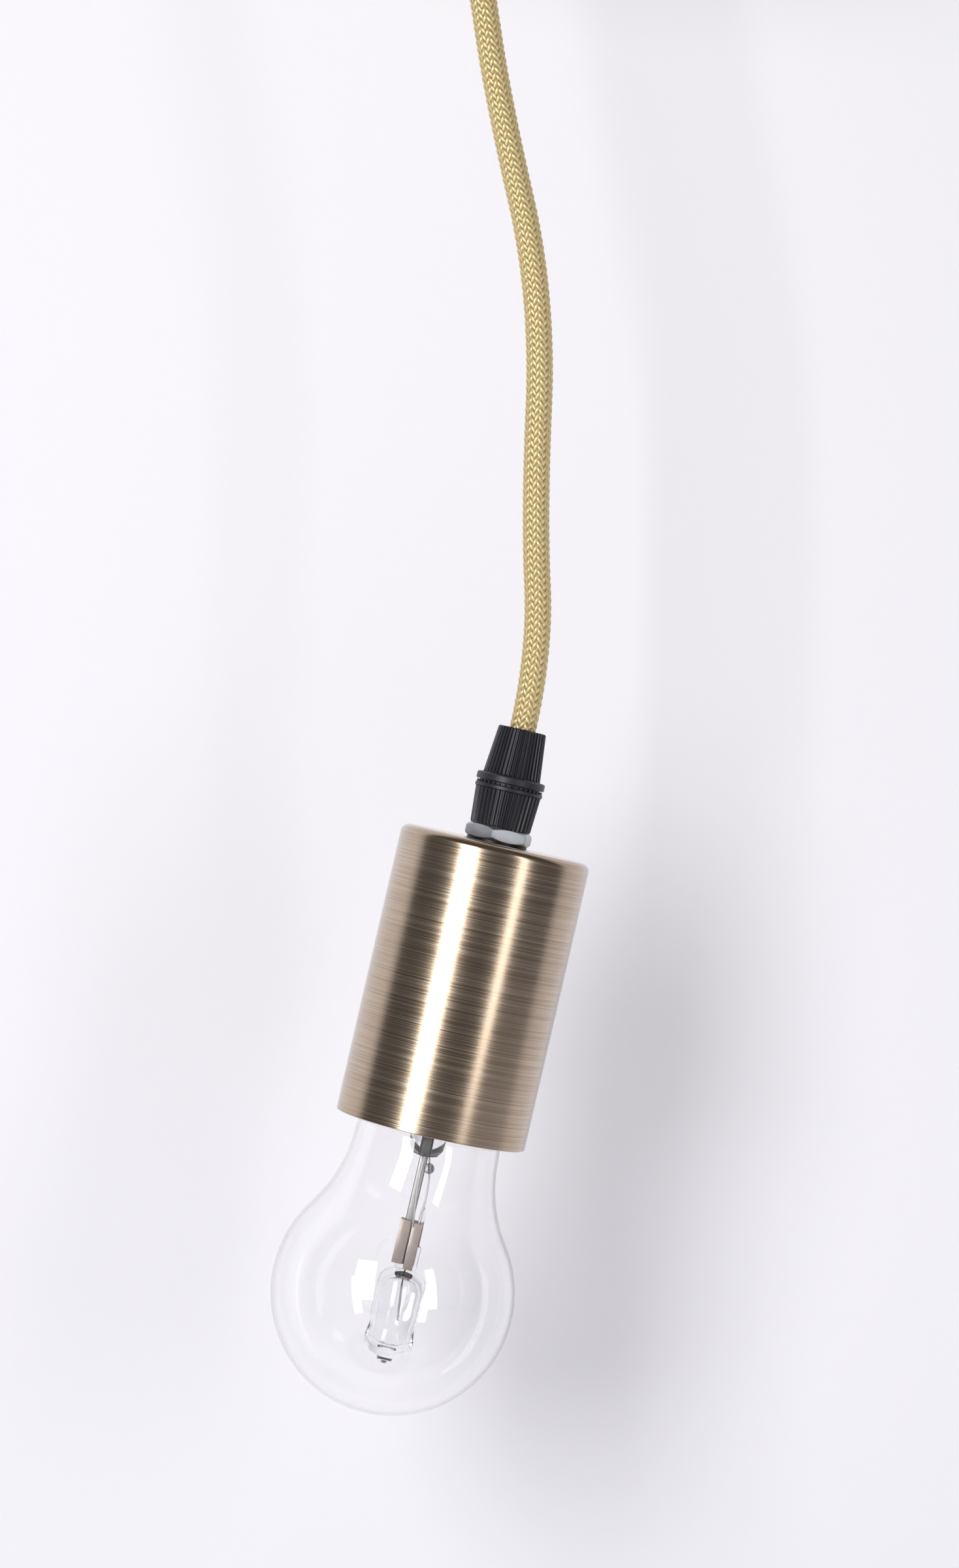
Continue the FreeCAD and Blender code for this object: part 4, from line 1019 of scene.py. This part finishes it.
DRUM_CENTRE = Vector((-21.85, 0.0, -32.0))
LEAD_TURN_RADIUS = 21.85
LEAD_TURN = 40.0
LEAD_STEPS = 4
WINDING_RADIUS = 15.35
WINDING_TURNS = 4.8
WINDING_POINTS_PER_TURN = 16
WINDING_SIDE = 12.4


def on_drum(radius, angle, across):
    """A point in mm round the drum's axis: its angle starts at the outlet's side and rises."""
    return DRUM_CENTRE + Vector((radius * math.cos(angle), across, radius * math.sin(angle)))


def hidden_cord():
    """The cord's last turn in the canopy, its winding on the drum and its end in the grip."""
    points = []
    for step in range(LEAD_STEPS + 1):
        angle = math.radians(LEAD_TURN - LEAD_TURN / LEAD_STEPS * step)
        points.append(on_drum(LEAD_TURN_RADIUS, angle, 0))
    points += [Vector((0.0, 0.0, level)) for level in (-44.0, -58.0, -72.0, -86.0)]
    lead = wire("cord_lead_woven", points, radius=3.08, resolution=12, sides=4)
    paint(lead, "woven_yarn")
    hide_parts("cord_lead")
    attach(lead, "ceiling_unit")
    coil = []
    for step in range(int(WINDING_TURNS * WINDING_POINTS_PER_TURN) + 1):
        turn = step / WINDING_POINTS_PER_TURN
        across = 2 * WINDING_SIDE * turn / WINDING_TURNS - WINDING_SIDE
        coil.append(on_drum(WINDING_RADIUS, 2 * math.pi * turn, across))
    winding = wire("cord_winding_woven", coil, radius=2.6, resolution=3, sides=3)
    paint(winding, "woven_yarn")
    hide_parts("cord_winding")
    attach(winding, "reel")
    tail = turned("cord_tail_woven", [(3.05, 0.06), (3.05, 37.2), (2.9, 37.3)], 32)
    hang(tail)
    paint(tail, "woven_yarn")
    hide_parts("cord_tail")
    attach(tail, "head")


hidden_cord()


# =========================================================== floor, backdrop and light
def stage_surface(name, colour, glow):
    """A pale matt surface seen from its front only."""
    material, shader = new_material(name)
    diffuse = shader.node("ShaderNodeBsdfDiffuse", {}, {"Color": colour})[0]
    light = shader.node("ShaderNodeEmission", {}, {"Color": colour, "Strength": glow})[0]
    both = shader.node("ShaderNodeAddShader", {}, {0: diffuse, 1: light})[0]
    clear = shader.node("ShaderNodeBsdfTransparent")[0]
    back = shader.node("ShaderNodeNewGeometry")["Backfacing"]
    mixed = shader.node("ShaderNodeMixShader", {}, {0: back, 1: both, 2: clear})[0]
    shader.node("ShaderNodeOutputMaterial", {}, {"Surface": mixed})
    return material


STAGE_SIZE = 6
WALL_DISTANCE = 0.09
FLOOR_LEVEL = -1.1
STAGE_COLOUR = rgb(240, 239, 243)
STAGE_GLOW = 0.27


def make_stage():
    deselect()
    place = (0, WALL_DISTANCE, -0.3)
    bpy.ops.mesh.primitive_plane_add(size=STAGE_SIZE, location=place, rotation=QUARTER_TURN)
    wall = bpy.context.object
    wall.name = "backdrop"
    wall.data.materials.append(stage_surface("backdrop_pale", STAGE_COLOUR, STAGE_GLOW))
    deselect()
    bpy.ops.mesh.primitive_plane_add(size=STAGE_SIZE, location=(0, 0, FLOOR_LEVEL))
    floor = bpy.context.object
    floor.name = "floor"
    floor.data.materials.append(stage_surface("floor_pale", STAGE_COLOUR, STAGE_GLOW))


LIGHT_TARGET = (0.0, 0.0, -0.33)
ROOM_COLOUR = rgb(240, 238, 246)
ROOM_LIGHT = 0.14
EXTRA_THROUGH_GLASS = 0.5
EXTRA_SEEN_DIRECTLY = 0.72


def softbox(name, place, width, height, power):
    """A rectangular lamp that faces the middle of what the camera sees."""
    bpy.ops.object.light_add(type="AREA", location=place)
    lamp = bpy.context.object
    lamp.name = name
    lamp.data.shape = "RECTANGLE"
    lamp.data.size = width
    lamp.data.size_y = height
    lamp.data.energy = power
    facing = Vector(LIGHT_TARGET) - Vector(place)
    lamp.rotation_euler = facing.to_track_quat("-Z", "Y").to_euler()


def make_light():
    """Two softboxes in front, and a dim room that the camera and the glass see as pale."""
    softbox("left_softbox", (-0.41, -0.81, -0.13), width=0.32, height=0.6, power=5.0)
    softbox("right_softbox", (0.57, -0.74, -0.28), width=0.15, height=0.6, power=1.3)
    world = bpy.data.worlds.new("studio")
    world.use_nodes = True
    world.node_tree.nodes.clear()
    shader = Shader(world.node_tree)
    seen_through_glass = shader.node("ShaderNodeLightPath")["Is Transmission Ray"]
    seen_directly = shader.node("ShaderNodeLightPath")["Is Camera Ray"]
    through = seen_through_glass * EXTRA_THROUGH_GLASS
    strength = ROOM_LIGHT + through + seen_directly * EXTRA_SEEN_DIRECTLY
    values = {"Color": ROOM_COLOUR, "Strength": strength}
    background = shader.node("ShaderNodeBackground", {}, values)[0]
    shader.node("ShaderNodeOutputWorld", {}, {"Surface": background})
    bpy.context.scene.world = world


make_stage()
make_light()
bpy.context.scene.view_settings.view_transform = "Standard"
